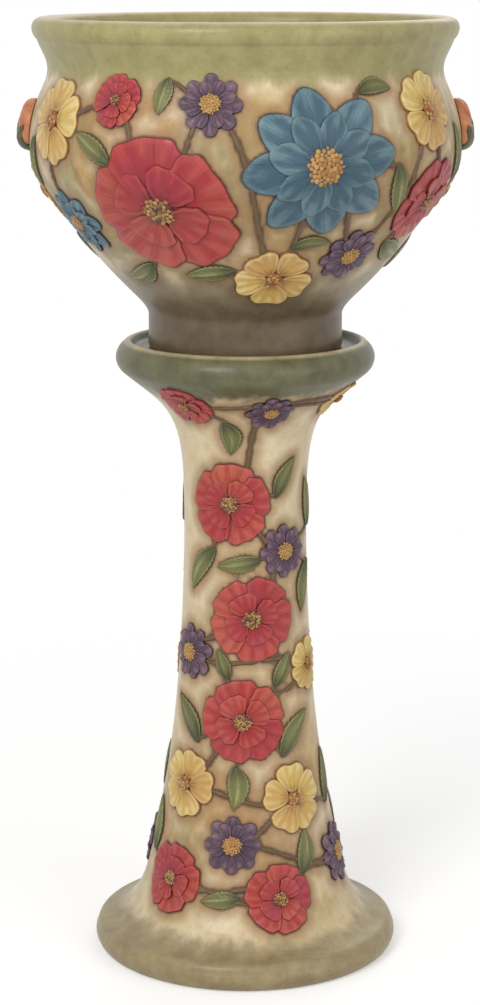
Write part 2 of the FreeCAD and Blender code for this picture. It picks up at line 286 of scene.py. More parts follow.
class Wall:
    """The decorated outside of a shell: a line from its foot to its rim, turned about Z."""

    def __init__(self, name, poles):
        self.line = np.array([p * MM for p in b_spline(poles, 400)])
        steps = np.linalg.norm(np.diff(self.line, axis=0), axis=1)
        self.lengths = np.concatenate([[0.0], np.cumsum(steps)])
        slopes = np.gradient(self.line, self.lengths, axis=0)
        self.slopes = slopes / np.linalg.norm(slopes, axis=1)[:, None]
        self.guide = self.make_guide(name)

    def make_guide(self, name):
        """The line as an object that node trees read. It isn't linked to the scene or shown."""
        mesh = bpy.data.meshes.new(f"{name}_wall_line")
        points = [(r, 0.0, z) for r, z in self.line.tolist()]
        mesh.from_pydata(points, [(i, i + 1) for i in range(len(points) - 1)], [])
        return bpy.data.objects.new(f"{name}_wall_line", mesh)

    def at(self, along):
        """At a length along the line: distance from the axis, height, and the line's slope."""
        rad, high = (np.interp(along, self.lengths, self.line[:, k]) for k in (0, 1))
        out, up = (np.interp(along, self.lengths, self.slopes[:, k]) for k in (0, 1))
        return rad, high, out, up

    def unroll(self, points):
        """Points near the wall as turn from the front, length along it, and height over it."""
        across = np.hypot(points[:, 0], points[:, 1])
        turn = np.arctan2(points[:, 0], -points[:, 1])
        along = np.interp(points[:, 2], self.line[:, 1], self.lengths)
        for _ in range(8):
            rad, high, out, up = self.at(along)
            along = along + (across - rad) * out + (points[:, 2] - high) * up
        rad, high, out, up = self.at(along)
        over = (across - rad) * up - (points[:, 2] - high) * out
        return turn, along, over

    def place(self, turn, along, over):
        """The point in space at a turn, a length along the wall, and a height over it."""
        rad, high, out, up = self.at(along)
        reach = rad + up * over
        return Vector((reach * math.sin(turn), -reach * math.cos(turn), high - out * over))


WALLS = {"bowl": Wall("bowl", BOWL_WALL), "stand": Wall("stand", STAND_WALL)}


# ---------------------------------------------------------------- building node trees


def operation(name):
    """A method that adds a node of one operation, fed with the field itself and what is given."""
    return lambda field, *others: field.tree.math(name, field, *others)


class Field:
    """A number that a node tree works out. Arithmetic on it adds the nodes that do it."""

    def __init__(self, tree, socket):
        self.tree = tree
        self.socket = socket

    def __rsub__(self, other):
        return self.tree.math("SUBTRACT", other, self)

    def __neg__(self):
        return self * -1.0

    __add__ = __radd__ = operation("ADD")
    __mul__ = __rmul__ = operation("MULTIPLY")
    __sub__ = operation("SUBTRACT")
    __truediv__ = operation("DIVIDE")
    __pow__ = operation("POWER")
    sin = operation("SINE")
    cos = operation("COSINE")
    abs = operation("ABSOLUTE")
    root = operation("SQRT")
    least = operation("MINIMUM")
    most = operation("MAXIMUM")
    # 1 where the field is more than the other, and 0 elsewhere.
    over = operation("GREATER_THAN")

    def soft_step(self, low, high):
        """Rises smoothly from 0 to 1 between two values, or falls where low is the larger."""
        return self.tree.remap(self, low, high, 0.0, 1.0)


class Tree:
    """Adds nodes to a shader or geometry tree and joins them up."""

    def __init__(self, tree):
        self.tree = tree

    def add(self, kind, **settings):
        """Adds a node and sets its settings."""
        node = self.tree.nodes.new(kind)
        for name, value in settings.items():
            setattr(node, name, value)
        return node

    def feed(self, socket, value):
        """Links a value that a tree works out to a socket, or sets a plain value on it."""
        value = value.socket if isinstance(value, Field) else value
        if isinstance(value, bpy.types.NodeSocket):
            self.tree.links.new(value, socket)
        else:
            socket.default_value = value

    def run(self, kind, inputs, output=0, **settings):
        """Adds a node, feeds its inputs by name or place, and gives one of its outputs."""
        node = self.add(kind, **settings)
        for key, value in inputs.items():
            self.feed(node.inputs[key], value)
        return node.outputs[output] if node.outputs else None

    def math(self, operation, *values):
        inputs = dict(enumerate(values))
        return Field(self, self.run("ShaderNodeMath", inputs, operation=operation))

    def remap(self, value, low, high, to_low, to_high):
        inputs = dict(enumerate((value, low, high, to_low, to_high)))
        settings = {"interpolation_type": "SMOOTHSTEP"}
        return Field(self, self.run("ShaderNodeMapRange", inputs, **settings))

    def vector(self, x, y, z):
        return self.run("ShaderNodeCombineXYZ", {0: x, 1: y, 2: z})

    def split(self, vector):
        node = self.add("ShaderNodeSeparateXYZ")
        self.feed(node.inputs[0], vector)
        return [Field(self, node.outputs[k]) for k in range(3)]

    def seen(self, *rays):
        """1 for the rays of these kinds, and 0 for those that only light things."""
        path = self.add("ShaderNodeLightPath").outputs
        first, *others = (Field(self, path[f"Is {ray} Ray"]) for ray in rays)
        for ray in others:
            first = first.most(ray)
        return first

    def noise(self, vector, scale, detail=2.0, roughness=0.5, distortion=0.0):
        inputs = {
            "Vector": vector,
            "Scale": scale,
            "Detail": detail,
            "Roughness": roughness,
            "Distortion": distortion,
        }
        return Field(self, self.run("ShaderNodeTexNoise", inputs, "Fac"))


class Form(Tree):
    """A geometry tree with named inputs, which ends in one mesh of one material."""

    SOCKETS = {
        "float": "NodeSocketFloat",
        "int": "NodeSocketInt",
        "object": "NodeSocketObject",
        "material": "NodeSocketMaterial",
    }

    def __init__(self, name, **inputs):
        super().__init__(bpy.data.node_groups.new(name, "GeometryNodeTree"))
        sockets = self.tree.interface
        sockets.new_socket("Geometry", in_out="INPUT", socket_type="NodeSocketGeometry")
        for key, kind in {**inputs, "Glaze": "material"}.items():
            label = key.replace("_", " ")
            sockets.new_socket(label, in_out="INPUT", socket_type=self.SOCKETS[kind])
        sockets.new_socket("Geometry", in_out="OUTPUT", socket_type="NodeSocketGeometry")
        self.given = self.add("NodeGroupInput").outputs

    def input(self, name):
        return Field(self, self.given[name])

    def index(self):
        """The number of each point."""
        return Field(self, self.run("GeometryNodeInputIndex", {}))

    def named(self, name, data_type="FLOAT"):
        kind = "GeometryNodeInputNamedAttribute"
        return Field(self, self.run(kind, {"Name": name}, data_type=data_type))

    def keep(self, geometry, **fields):
        """Stores fields on the points under their names."""
        for name, value in fields.items():
            inputs = {"Geometry": geometry, "Name": name, "Value": value}
            geometry = self.run("GeometryNodeStoreNamedAttribute", inputs, data_type="FLOAT")
        return geometry

    def chance(self, low, high, seed, salt):
        """A number drawn for each point, the same at every run."""
        node = self.add("FunctionNodeRandomValue", data_type="FLOAT")
        for place, value in ((2, low), (3, high), (8, seed * 31.0 + salt)):
            self.feed(node.inputs[place], value)
        return Field(self, node.outputs[1])

    def move_to(self, geometry, position):
        return self.run("GeometryNodeSetPosition", {"Geometry": geometry, "Position": position})

    def position(self):
        return self.split(self.run("GeometryNodeInputPosition", {}))

    def spline(self, output):
        """The length or share of a curve up to each of its points."""
        return Field(self, self.run("GeometryNodeSplineParameter", {}, output))

    def join(self, *geometries):
        node = self.add("GeometryNodeJoinGeometry")
        for geometry in reversed(geometries):
            self.tree.links.new(geometry, node.inputs[0])
        return node.outputs[0]

    def weld(self, geometry, distance=TOUCHING):
        inputs = {"Geometry": geometry, "Distance": distance}
        return self.run("GeometryNodeMergeByDistance", inputs)

    def loose(self, count):
        """As many loose points as counted, all at the origin."""
        return self.run("GeometryNodeMeshLine", {"Count": count, "Offset": ORIGIN})

    def copies(self, points, shape, **inputs):
        """A shape set on each point, as one mesh."""
        inputs = {"Points": points, "Instance": shape, **inputs}
        placed = self.run("GeometryNodeInstanceOnPoints", inputs)
        return self.run("GeometryNodeRealizeInstances", {"Geometry": placed})

    def grid(self, rows, columns):
        """A sheet of faces, with the number of its row and of its column at each point."""
        inputs = {"Vertices X": rows + 1, "Vertices Y": columns + 1, "Size X": 1.0, "Size Y": 1.0}
        sheet = self.run("GeometryNodeMeshGrid", inputs)
        index = self.index() + 0.5
        row = self.math("FLOOR", index / (columns + 1.0))
        return sheet, row, self.math("FLOOR", index - row * (columns + 1.0))

    def finish(self, geometry):
        geometry = self.run("GeometryNodeSetShadeSmooth", {"Geometry": geometry})
        geometry = self.run("GeometryNodeRealizeInstances", {"Geometry": geometry})
        inputs = {"Geometry": geometry, "Material": self.given["Glaze"]}
        geometry = self.run("GeometryNodeSetMaterial", inputs)
        self.tree.links.new(geometry, self.add("NodeGroupOutput").inputs[0])
        return self.tree

    def lay_on_wall(self, geometry, right, along, over, turn):
        """Moves flat points on to the wall: right and along it, and over it."""
        wall = {"Object": self.given["Wall"]}
        source = self.run("GeometryNodeObjectInfo", wall, "Geometry")
        line = self.run("GeometryNodeMeshToCurve", {"Mesh": source})
        node = self.add("GeometryNodeSampleCurve", mode="LENGTH", use_all_curves=True)
        self.feed(node.inputs["Curves"], line)
        self.feed(node.inputs["Length"], along)
        rad, _, high = self.split(node.outputs["Position"])
        out, _, up = self.split(node.outputs["Tangent"])
        angle = turn + right / rad
        reach = rad + up * over
        spot = self.vector(reach * angle.sin(), -(reach * angle.cos()), high - out * over)
        return self.move_to(geometry, spot)


def set_inputs(modifier, values):
    """Sets a modifier's inputs by the names that its tree gives them."""
    sockets = {
        item.name: item
        for item in modifier.node_group.interface.items_tree
        if item.item_type == "SOCKET" and item.in_out == "INPUT"
    }
    for name, value in values.items():
        kind = sockets[name].socket_type
        if kind == "NodeSocketFloat":
            value = float(value)
        modifier[sockets[name].identifier] = value


def grow(name, tree, seed_mesh, body, slot, replaced=(), **values):
    """Runs a tree on a seed mesh, and makes what it gives a plain piece that rides on a body."""
    seed = bpy.data.objects.new(f"{name}_seed", seed_mesh)
    bpy.context.scene.collection.objects.link(seed)
    modifier = seed.modifiers.new("form", "NODES")
    modifier.node_group = tree
    set_inputs(modifier, {key.replace("_", " "): value for key, value in values.items()})
    graph = bpy.context.evaluated_depsgraph_get()
    mesh = bpy.data.meshes.new_from_object(
        seed.evaluated_get(graph), preserve_all_data_layers=True, depsgraph=graph
    )
    seed.modifiers.remove(modifier)
    bpy.data.objects.remove(seed)
    if not mesh.polygons:
        raise RuntimeError(f"{name} came out empty")
    mesh.name = name
    piece = bpy.data.objects.new(name, mesh)
    bpy.context.scene.collection.objects.link(piece)
    settle(piece, body, slot, replaced)
    return piece


def settle(piece, body, slot, replaced=()):
    """Makes a piece ride on a body and hides the nodes that it stands for. Its finish, slot, is not
    used.
    """
    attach(piece, body)
    if replaced:
        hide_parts(*replaced)


def seed_points(name, points, edges=(), **attributes):
    """A mesh of points, loose or joined by edges, which carries numbers for a tree."""
    mesh = bpy.data.meshes.new(f"{name}_seed")
    mesh.from_pydata(points, edges, [])
    for key, numbers in attributes.items():
        layer = mesh.attributes.new(key, "FLOAT", "POINT")
        layer.data.foreach_set("value", [float(n) for n in numbers])
    return mesh


# ---------------------------------------------------------------- the forms


def shell_form():
    """A section turned about Z: each row of faces follows one point of the section. The wall
    dips unevenly, except inside, close to the floor, at the seat and near the axis."""
    t = Form("turned shell", Points="int", Unevenness="float")
    columns = 288
    seat, fit = 0.506, 0.006
    section = t.given["Geometry"]
    sheet, row, column = t.grid(t.input("Points") - 1.0, columns)

    def sample(value, data_type):
        inputs = {"Geometry": section, "Value": value, "Index": row}
        return t.run("GeometryNodeSampleIndex", inputs, data_type=data_type, clamp=True)

    place = t.run("GeometryNodeInputPosition", {})
    rad, _, high = t.split(sample(place, "FLOAT_VECTOR"))
    inside = Field(t, sample(t.named("inside"), "FLOAT"))
    bare = Field(t, sample(t.named("bare"), "FLOAT"))
    # The columns run the other way about Z, so that the faces look outwards.
    angle = column * (-FULL_TURN / columns)
    across, depth = angle.sin(), -angle.cos()
    around = t.vector(rad * across, rad * depth, high)
    waves = t.noise(around, 11.0, 2.0)
    dents = t.noise(around, 42.0, 3.0)
    dip = (waves * 0.7 + dents * 0.3) * t.input("Unevenness")
    dip = dip * (1.0 - inside) * high.soft_step(0.004, 0.02)
    dip = dip * (1.0 - (high - seat).abs().soft_step(fit + 0.008, fit))
    rad = rad - dip * rad.over(0.02)
    shell = t.move_to(sheet, t.vector(rad * across, rad * depth, high))
    shell = t.keep(shell, inside=inside, bare=bare)
    return t.finish(t.weld(shell))


def closed_disc(t, top_rows, columns):
    """A round closed form as a sheet: its ring runs 0 to 1 over the top and back underneath.
    Gives the sheet, the ring, the turn about the middle, and 1 where a point is underneath."""
    under_rows = 2
    sheet, row, column = t.grid(top_rows + under_rows, columns)
    under = (row - float(top_rows)).most(0.0)
    quarter = (row / float(top_rows)).least(1.0) * (math.pi / 2)
    ring = quarter.sin() * (1.0 - (under - 1.0).most(0.0) / (under_rows - 1.0))
    return sheet, ring, column * (FULL_TURN / columns), under.over(0.5)


def petal(t, relief):
    """One closed petal that points along X from the flower's middle, in shares of the diameter
    with its height in metres."""
    rows, columns = 11, 72
    sheet, ring, turn, underneath = closed_disc(t, rows, columns)
    half_long = t.input("Petal Length") / 2.0
    half_wide = t.input("Petal Width") / 2.0
    ahead = turn.cos()
    tip = ahead.most(0.0)
    reach = ahead + t.input("Point") * tip**4.0 - t.input("Notch") * tip**24.0
    ruffled = 1.0 + t.input("Ruffle") * (turn * t.input("Ruffles")).cos() * ring**3.0
    x = ring * half_long * reach * ruffled
    side = ring * turn.sin()
    y = side * half_wide * (1.0 + t.input("Taper") * ahead) * ruffled
    # Folds spread like a fan from a point behind the petal, and fan is -1 to 1 across it.
    root = half_long * 1.35
    fan = t.math("ARCTAN2", y, x + root) / t.math("ARCTAN2", half_wide, root)
    ridge = (fan * t.input("Folds") * math.pi).cos() * 0.5 + 0.5
    hollow = 1.0 - t.input("Cup") * (1.0 - ring**2.0)
    dome = (1.0 - ring**6.0).most(0.0).root()
    folds = 1.0 - t.input("Fold Depth") * (1.0 - ridge) * ring.soft_step(0.05, 0.6)
    # A tilted petal is lifted at one side, so that each lies over the next.
    tilt = t.input("Tilt") * 0.45
    body = dome * hollow * folds * (1.0 - tilt)
    lift = tilt * (side * 0.5 + 0.5) * ring.soft_step(0.0, 0.9)
    height = relief * (body + lift)
    height = height * (1.0 - underneath) - t.input("Sink") * underneath
    middle = 0.5 - half_long * (1.0 + t.input("Point"))
    sheet = t.move_to(sheet, t.vector(x + middle, y, height))
    sheet = t.keep(
        sheet,
        reach=(x / half_long) * 0.5 + 0.5,
        across=fan,
        edge=ring,
        ridge=ridge * ring.soft_step(0.05, 0.6),
        heart=0.0,
    )
    return t.weld(sheet)


def petal_ring(t, shape, count, first, size, lift, salt):
    """Petals round the middle, each a little different: how many, the turn of the first, their
    size and lift, and a number that sets their chances apart."""
    seed = t.input("Seed")
    points = t.keep(t.loose(count), petal=t.chance(0.0, 1.0, seed, salt))
    points = t.move_to(points, t.vector(0.0, 0.0, lift))
    turn = first + t.index() * FULL_TURN / t.math("MAXIMUM", count, 1.0)
    turn = turn + t.chance(-0.06, 0.06, seed, salt + 1.0)
    spread = size * t.chance(0.93, 1.0, seed, salt + 2.0)
    rotation = t.run("FunctionNodeEulerToRotation", {0: t.vector(0.0, 0.0, turn)})
    scale = t.vector(spread, spread, t.chance(0.9, 1.0, seed, salt + 3.0))
    return t.copies(points, shape, Rotation=rotation, Scale=scale)


def flower_heart(t, relief):
    """The domed heart, and the seeds on it in their spiral."""
    half = t.input("Heart Size") / 2.0
    seed, count = t.input("Seed"), t.input("Seeds")
    rim, dome, bead_high = 0.42, 0.52, 0.16

    def rise(ring):
        return relief * (rim + dome * (1.0 - ring**2.0).most(0.0).root())

    sheet, ring, turn, underneath = closed_disc(t, 7, 32)
    height = rise(ring) * (1.0 - underneath) - t.input("Sink") * underneath
    cushion = t.vector(ring * half * turn.cos(), ring * half * turn.sin(), height)
    cushion = t.weld(t.move_to(sheet, cushion))
    cushion = t.keep(cushion, edge=ring, heart=1.0, ridge=0.0, reach=0.0, across=0.0)

    ring, turn = ((t.index() + 0.5) / count).root(), t.index() * GOLDEN_ANGLE
    spread = ring * half * 0.97
    spot = t.vector(spread * turn.cos(), spread * turn.sin(), rise(ring))
    points = t.move_to(t.loose(t.given["Seeds"]), spot)
    points = t.keep(points, petal=t.chance(0.0, 1.0, seed, 71.0))
    bead = t.run("GeometryNodeMeshIcoSphere", {"Radius": 1.0, "Subdivisions": 2})
    bead = t.keep(bead, edge=0.5, heart=2.0, ridge=0.0, reach=0.0, across=0.0)
    wide = half * 1.05 / count.root() * t.chance(0.8, 1.1, seed, 5.0)
    tall = (wide * t.input("Diameter") * 0.8).least(relief * bead_high)
    return cushion, t.copies(points, bead, Scale=t.vector(wide, wide, tall))


def flower_form():
    """A flower of two rings of petals round a seeded heart, laid on a wall."""
    counted = ("Petals", "Inner Petals", "Seeds")
    t = Form(
        "flower",
        Wall="object", Turn="float", Along="float", Diameter="float", Spin="float",
        Relief="float", Sink="float", Seed="int",
        **{name: "int" if name in counted else "float" for name in FORM_INPUTS},
    )
    relief = t.input("Relief")
    # The share of the relief that one layer of petals takes. The inner ring sits on the rest.
    layer = 0.74
    shape = petal(t, relief * layer)
    spin, size = t.input("Spin"), t.input("Inner Size")
    half_step = t.math("DIVIDE", math.pi, t.input("Petals"))
    lift = relief * (1 - layer)
    outer = petal_ring(t, shape, t.given["Petals"], spin, 1.0, 0.0, 11.0)
    inner = petal_ring(t, shape, t.given["Inner Petals"], spin + half_step, size, lift, 23.0)
    flat = t.join(outer, inner, *flower_heart(t, relief))
    x, y, height = t.position()
    wide = t.input("Diameter")
    laid = t.lay_on_wall(flat, x * wide, t.input("Along") + y * wide, height, t.input("Turn"))
    return t.finish(laid)


def leaf_form():
    """Leaves on a wall: each with a raised midrib, sunken side veins and a toothed edge."""
    t = Form("leaf", Wall="object", Rise="float", Sink="float", Seed="int")
    rows, columns = 48, 32
    teeth, rib, side_veins = 9, 30.0, 7.0
    sheet, row, column = t.grid(rows, columns)
    u, turn = row / float(rows), column * (FULL_TURN / columns)
    v, height = turn.cos(), turn.sin()
    away = v.abs()
    swell = ((u**0.85) * math.pi).sin().most(0.0)
    toothed = 1.0 + 0.07 * (u * (teeth * FULL_TURN) + away * 2.0).sin() * away**6.0
    midrib = t.math("EXPONENT", (v * v * -rib * (0.5 + u)).most(-20.0))
    veins = ((u * side_veins - away * 2.2) * FULL_TURN).cos() * 0.5 + 0.5
    veins = veins * away.soft_step(0.08, 0.3) * away.soft_step(1.0, 0.7)
    top = height.most(0.0) ** 0.45 * (0.66 + 0.34 * midrib - 0.24 * veins) * swell**0.35
    lifted = t.input("Rise") * top + t.input("Sink") * height.least(0.0)
    flat = t.move_to(sheet, t.vector(u - 0.5, v * swell**0.8 * toothed * 0.5, lifted))
    flat = t.keep(flat, reach=u, across=v, edge=away, ridge=midrib - veins * 0.5, heart=0.0)
    seed = t.input("Seed")
    points = t.keep(t.given["Geometry"], petal=t.chance(0.0, 1.0, seed, 3.0))
    points = t.keep(points, sway=t.chance(-0.12, 0.12, seed, 8.0))
    leaves = t.copies(points, t.weld(flat, 1e-5))
    x, y, high = t.position()
    reach, long, way = t.named("reach"), t.named("long"), t.named("way")
    bow = t.named("sway") * long * (reach * (1.0 - reach) * 4.0 - 0.6)
    x, y = x * long, y * t.named("wide") + bow
    right = x * way.cos() - y * way.sin()
    up = x * way.sin() + y * way.cos()
    laid = t.lay_on_wall(leaves, right, t.named("along") + up, high, t.named("turn"))
    return t.finish(laid)


def stem_form():
    """Round stems along a set of lines, thick and thin as the lines say, with knots in the bark."""
    t = Form("stem", Step="float", Knots="float")
    curve = t.run("GeometryNodeMeshToCurve", {"Mesh": t.given["Geometry"]})
    inputs = {"Curve": curve, "Length": t.given["Step"]}
    curve = t.run("GeometryNodeResampleCurve", inputs, mode="LENGTH")
    curve = t.keep(curve, reach=t.spline("Length") * 45.0 + 1.0, edge=0.5, petal=0.5)
    ring = t.run("GeometryNodeCurvePrimitiveCircle", {"Resolution": 12, "Radius": 1.0}, "Curve")
    ring = t.keep(ring, across=(t.spline("Factor") * FULL_TURN).sin() * 0.3)
    place = t.run("GeometryNodeInputPosition", {})
    lumps = t.noise(place, 150.0, 3.0).soft_step(0.3, 0.7) * 0.6 - 0.3
    lumps = 1.0 + lumps * t.input("Knots")
    inputs = {"Curve": curve, "Profile Curve": ring, "Scale": t.named("thick") * lumps}
    return t.finish(t.run("GeometryNodeCurveToMesh", {**inputs, "Fill Caps": True}))


# ---------------------------------------------------------------- reading the frame


def node_points(node):
    """The points of a node of the frame, in metres."""
    mesh = frame["nodes"][node].data
    points = np.empty(len(mesh.vertices) * 3)
    mesh.vertices.foreach_get("co", points)
    return points.reshape(-1, 3)


def about(turn):
    """The same turn, between minus and plus a half turn."""
    return (turn + math.pi) % FULL_TURN - math.pi


def flower_kind(node):
    """The kind of flower, which is a word of the node's name, or None for other nodes."""
    return next((word for word in node.split("_") if word in FLOWER_FORMS), None)


def to_edge(flower, turn, along, rad):
    """How far a place on the wall is from the edge of a flower."""
    right = about(turn - flower["Turn"]) * rad
    return math.hypot(right, along - flower["Along"]) - flower["Diameter"] / 2


def measure_flower(node, wall):
    """Where a flower lies on its wall: turn and length along of its heart, which is its highest
    point, its diameter, which takes in the bevel, and its spin, which is the way of a petal."""
    turn, along, over = wall.unroll(node_points(node))
    heart = int(np.argmax(over))
    rad = wall.at(along)[0]
    right = about(turn - turn[heart]) * rad
    up = along - along[heart]
    reach = np.hypot(right, up)
    far = int(np.argmax(reach))
    return {
        "Turn": float(turn[heart]),
        "Along": float(along[heart]),
        "Diameter": 2.04 * float(reach[far]),
        "Spin": math.atan2(up[far], right[far]),
    }


def islands(node):
    """The separate solids of a node, each as the array of its points. Points that touch are one,
    and the two ends of an edge take the lower of their labels until nothing changes."""
    mesh = frame["nodes"][node].data
    points = node_points(node)
    cells = np.round(points / (2 * TOUCHING)).astype(np.int64)
    _, first, spot = np.unique(cells, axis=0, return_index=True, return_inverse=True)
    spot = spot.reshape(-1)
    ends = np.empty(len(mesh.edges) * 2, np.int64)
    mesh.edges.foreach_get("vertices", ends)
    a, b = spot[ends].reshape(-1, 2).T
    label = np.arange(len(first))
    while True:
        low = np.minimum(label[a], label[b])
        new = label.copy()
        np.minimum.at(new, a, low)
        np.minimum.at(new, b, low)
        new = new[new]
        if (new == label).all():
            break
        label = new
    merged = points[first]
    return [merged[label == k] for k in np.unique(label)]


def measure_leaf(points, wall, flowers):
    """Where a leaf lies: its middle, length, width, and the way its tip points, which is away
    from the nearest flower. The teeth and the pointed ends reach past the plain solid's."""
    turn, along, _ = wall.unroll(points)
    middle_turn = math.atan2(np.sin(turn).mean(), np.cos(turn).mean())
    rad = wall.at(along)[0]
    flat = np.stack([about(turn - middle_turn) * rad, along], axis=1)
    middle = (flat.max(0) + flat.min(0)) / 2
    values, axes = np.linalg.eigh(np.cov((flat - flat.mean(0)).T))
    axis = axes[:, int(np.argmax(values))]
    long = float(np.ptp((flat - middle) @ axis))
    wide = float(np.ptp((flat - middle) @ np.array([-axis[1], axis[0]])))
    rad = float(wall.at(middle[1])[0])
    here = middle_turn + middle[0] / rad

    def nearest(sign):
        right, up = axis * sign * long / 2
        return min(to_edge(f, here + right / rad, middle[1] + up, rad) for f in flowers)

    if nearest(-1) > nearest(1):
        axis = -axis
    return {
        "turn": here,
        "along": float(middle[1]),
        "long": long * 1.12,
        "wide": wide * 1.18,
        "way": math.atan2(axis[1], axis[0]),
    }


RELIEF = {shell: {"flowers": {}, "leaves": {}} for shell in SHELLS}


def survey():
    """Measures every flower and leaf of the frame once."""
    for shell in SHELLS:
        wall, found = WALLS[shell], RELIEF[shell]
        nodes = [n for n in frame["record"]["behaviour"]["bodies"][shell] if flower_kind(n)]
        found["flowers"] = {n: measure_flower(n, wall) for n in nodes}
        flowers = list(found["flowers"].values())
        for side in SIDES:
            node = f"{shell}_leaves_{side}"
            found["leaves"][side] = [measure_leaf(p, wall, flowers) for p in islands(node)]


# ---------------------------------------------------------------- glazes


class Glaze(Tree):
    """A fired glaze: colour from named layers, with pooled and worn places that partly carry
    painted shade and a painted highlight, and crazed places.
    """

    def __init__(self, name):
        self.material = bpy.data.materials.new(name)
        self.material.use_nodes = True
        super().__init__(self.material.node_tree)
        self.tree.nodes.clear()
        self.place = self.run("ShaderNodeTexCoord", {}, "Object")

    def named(self, name):
        return Field(self, self.run("ShaderNodeAttribute", {}, "Fac", attribute_name=name))

    def scaled(self, vector, scale, offset=ORIGIN):
        inputs = {0: vector, 1: scale, 2: offset}
        return self.run("ShaderNodeVectorMath", inputs, operation="MULTIPLY_ADD")

    def blend(self, share, low, high):
        """A colour between two, by a share from 0 to 1."""
        node = self.add("ShaderNodeMix", data_type="RGBA", clamp_factor=True)
        self.feed(node.inputs[0], share)
        for socket, value in ((node.inputs[6], low), (node.inputs[7], high)):
            self.feed(socket, (*value, 1.0) if isinstance(value, tuple) else value)
        return node.outputs[2]

    def cells(self, vector, scale):
        """Distance to the border between cells, as in a network of cracks."""
        inputs = {"Vector": vector, "Scale": scale}
        settings = {"feature": "DISTANCE_TO_EDGE"}
        return Field(self, self.run("ShaderNodeTexVoronoi", inputs, "Distance", **settings))

    def drift(self, colour, hue, saturation, value):
        """The colour moved round the wheel from 0.5, and its strength and lightness scaled."""
        inputs = {"Color": colour, "Hue": hue, "Saturation": saturation, "Value": value}
        return self.run("ShaderNodeHueSaturation", inputs)

    def finish(self, colour, roughness, height, gloss):
        """Ends the glaze with its colour, its roughness, the height of its fine relief, and how
        much clear glaze lies on top."""
        bump = {"Height": height, "Strength": 0.55, "Distance": 0.0006}
        inputs = {
            "Base Color": colour,
            "Roughness": roughness,
            "Normal": self.run("ShaderNodeBump", bump, "Normal"),
            "Coat Weight": gloss,
            "Coat Roughness": 0.2,
            "Specular IOR Level": 0.28,
        }
        shader = self.run("ShaderNodeBsdfPrincipled", inputs)
        self.run("ShaderNodeOutputMaterial", {"Surface": shader})
        return self.material


def relief_glaze(name, main, deep, light, heart, heart_deep, seeds=None):
    """The glaze of a flower, leaf or lug. It is darker where petals start, partly as thick glaze
    and partly as painted shade under the heart and the inner petals, and darker along their rims,
    partly as pooled glaze and partly as painted shade where they meet the wall and each other.
    It is thin and light on their folds, lighter just inside their rims as worn glaze with a
    painted rim highlight, and brushed from the middle outwards. Noise is scaled in repeats to a
    metre, and what pieces carry in their attributes runs 0 to 1, except heart, which is 1 on a
    heart and 2 on its seeds."""
    g = Glaze(name)
    reach, across, edge = g.named("reach"), g.named("across"), g.named("edge")
    ridge, chance, part = g.named("ridge"), g.named("petal"), g.named("heart")
    mottle = g.noise(g.place, 60.0, 4.0, 0.6)
    fine = g.noise(g.place, 420.0, 3.0, 0.6)
    brush = g.noise(g.vector(reach * 1.3, across * 7.0, chance * 40.0), 2.2, 3.0, 0.65)
    veins = g.noise(g.vector(reach * 0.9, across * 26.0, chance * 40.0), 1.0, 2.0, 0.5)
    tone = brush * 0.55 + mottle * 0.30 + ridge * 0.26 + chance * 0.16 - 0.16
    tone = tone + reach.soft_step(0.0, 0.7) * 0.26 - veins.soft_step(0.55, 0.72) * 0.16
    lower = g.blend(tone.soft_step(0.10, 0.52), deep, main)
    shade = g.blend((tone - 0.1).soft_step(0.46, 0.86), lower, light)
    # Darker where petals start: partly thick glaze, partly painted shade under the heart and the
    # inner petals.
    start = (1.0 - reach.soft_step(0.05, 0.42)) * (0.35 + mottle * 0.7)
    shade = g.blend(start, shade, deep)
    # Lighter just inside each rim: partly thin worn glaze, partly a painted rim highlight.
    worn_glaze_and_highlight = edge.soft_step(0.74, 0.88) * edge.soft_step(0.985, 0.93) * (brush * 1.3 - 0.2)
    shade = g.blend(worn_glaze_and_highlight.least(0.8), shade, light)
    # A dark line along each rim: partly pooled glaze, partly painted shade where the rim meets the
    # wall and the petals under it.
    shade = g.blend(edge.soft_step(0.94, 0.995) * 0.85, shade, deep)
    shade = g.blend(fine.soft_step(0.64, 0.74) * 0.4, shade, deep)
    middle = g.blend(mottle.soft_step(0.35, 0.7), heart_deep, heart)
    middle = g.blend(edge.soft_step(0.6, 1.0) * 0.7, middle, heart_deep)
    shade = g.blend(part.soft_step(0.2, 0.8), shade, middle)
    if seeds:
        shade = g.blend(part.soft_step(1.2, 1.8), shade, g.blend(chance, seeds, heart))
    wander = g.noise(g.place, 23.0, 2.0, 0.5)
    shade = g.drift(
        shade,
        0.5 + (wander - 0.5) * 0.035 + (chance - 0.5) * 0.014,
        0.90 + mottle * 0.2,
        0.84 + wander * 0.18 + chance * 0.10,
    )
    roughness = 0.30 + mottle * 0.2 + fine * 0.1
    cracks = g.cells(g.place, 260.0).soft_step(0.0, 0.05)
    height = fine * 0.25 + brush * 0.6 + veins * 0.9 + cracks * 0.16
    return g.finish(shade, roughness, height, gloss=0.18)


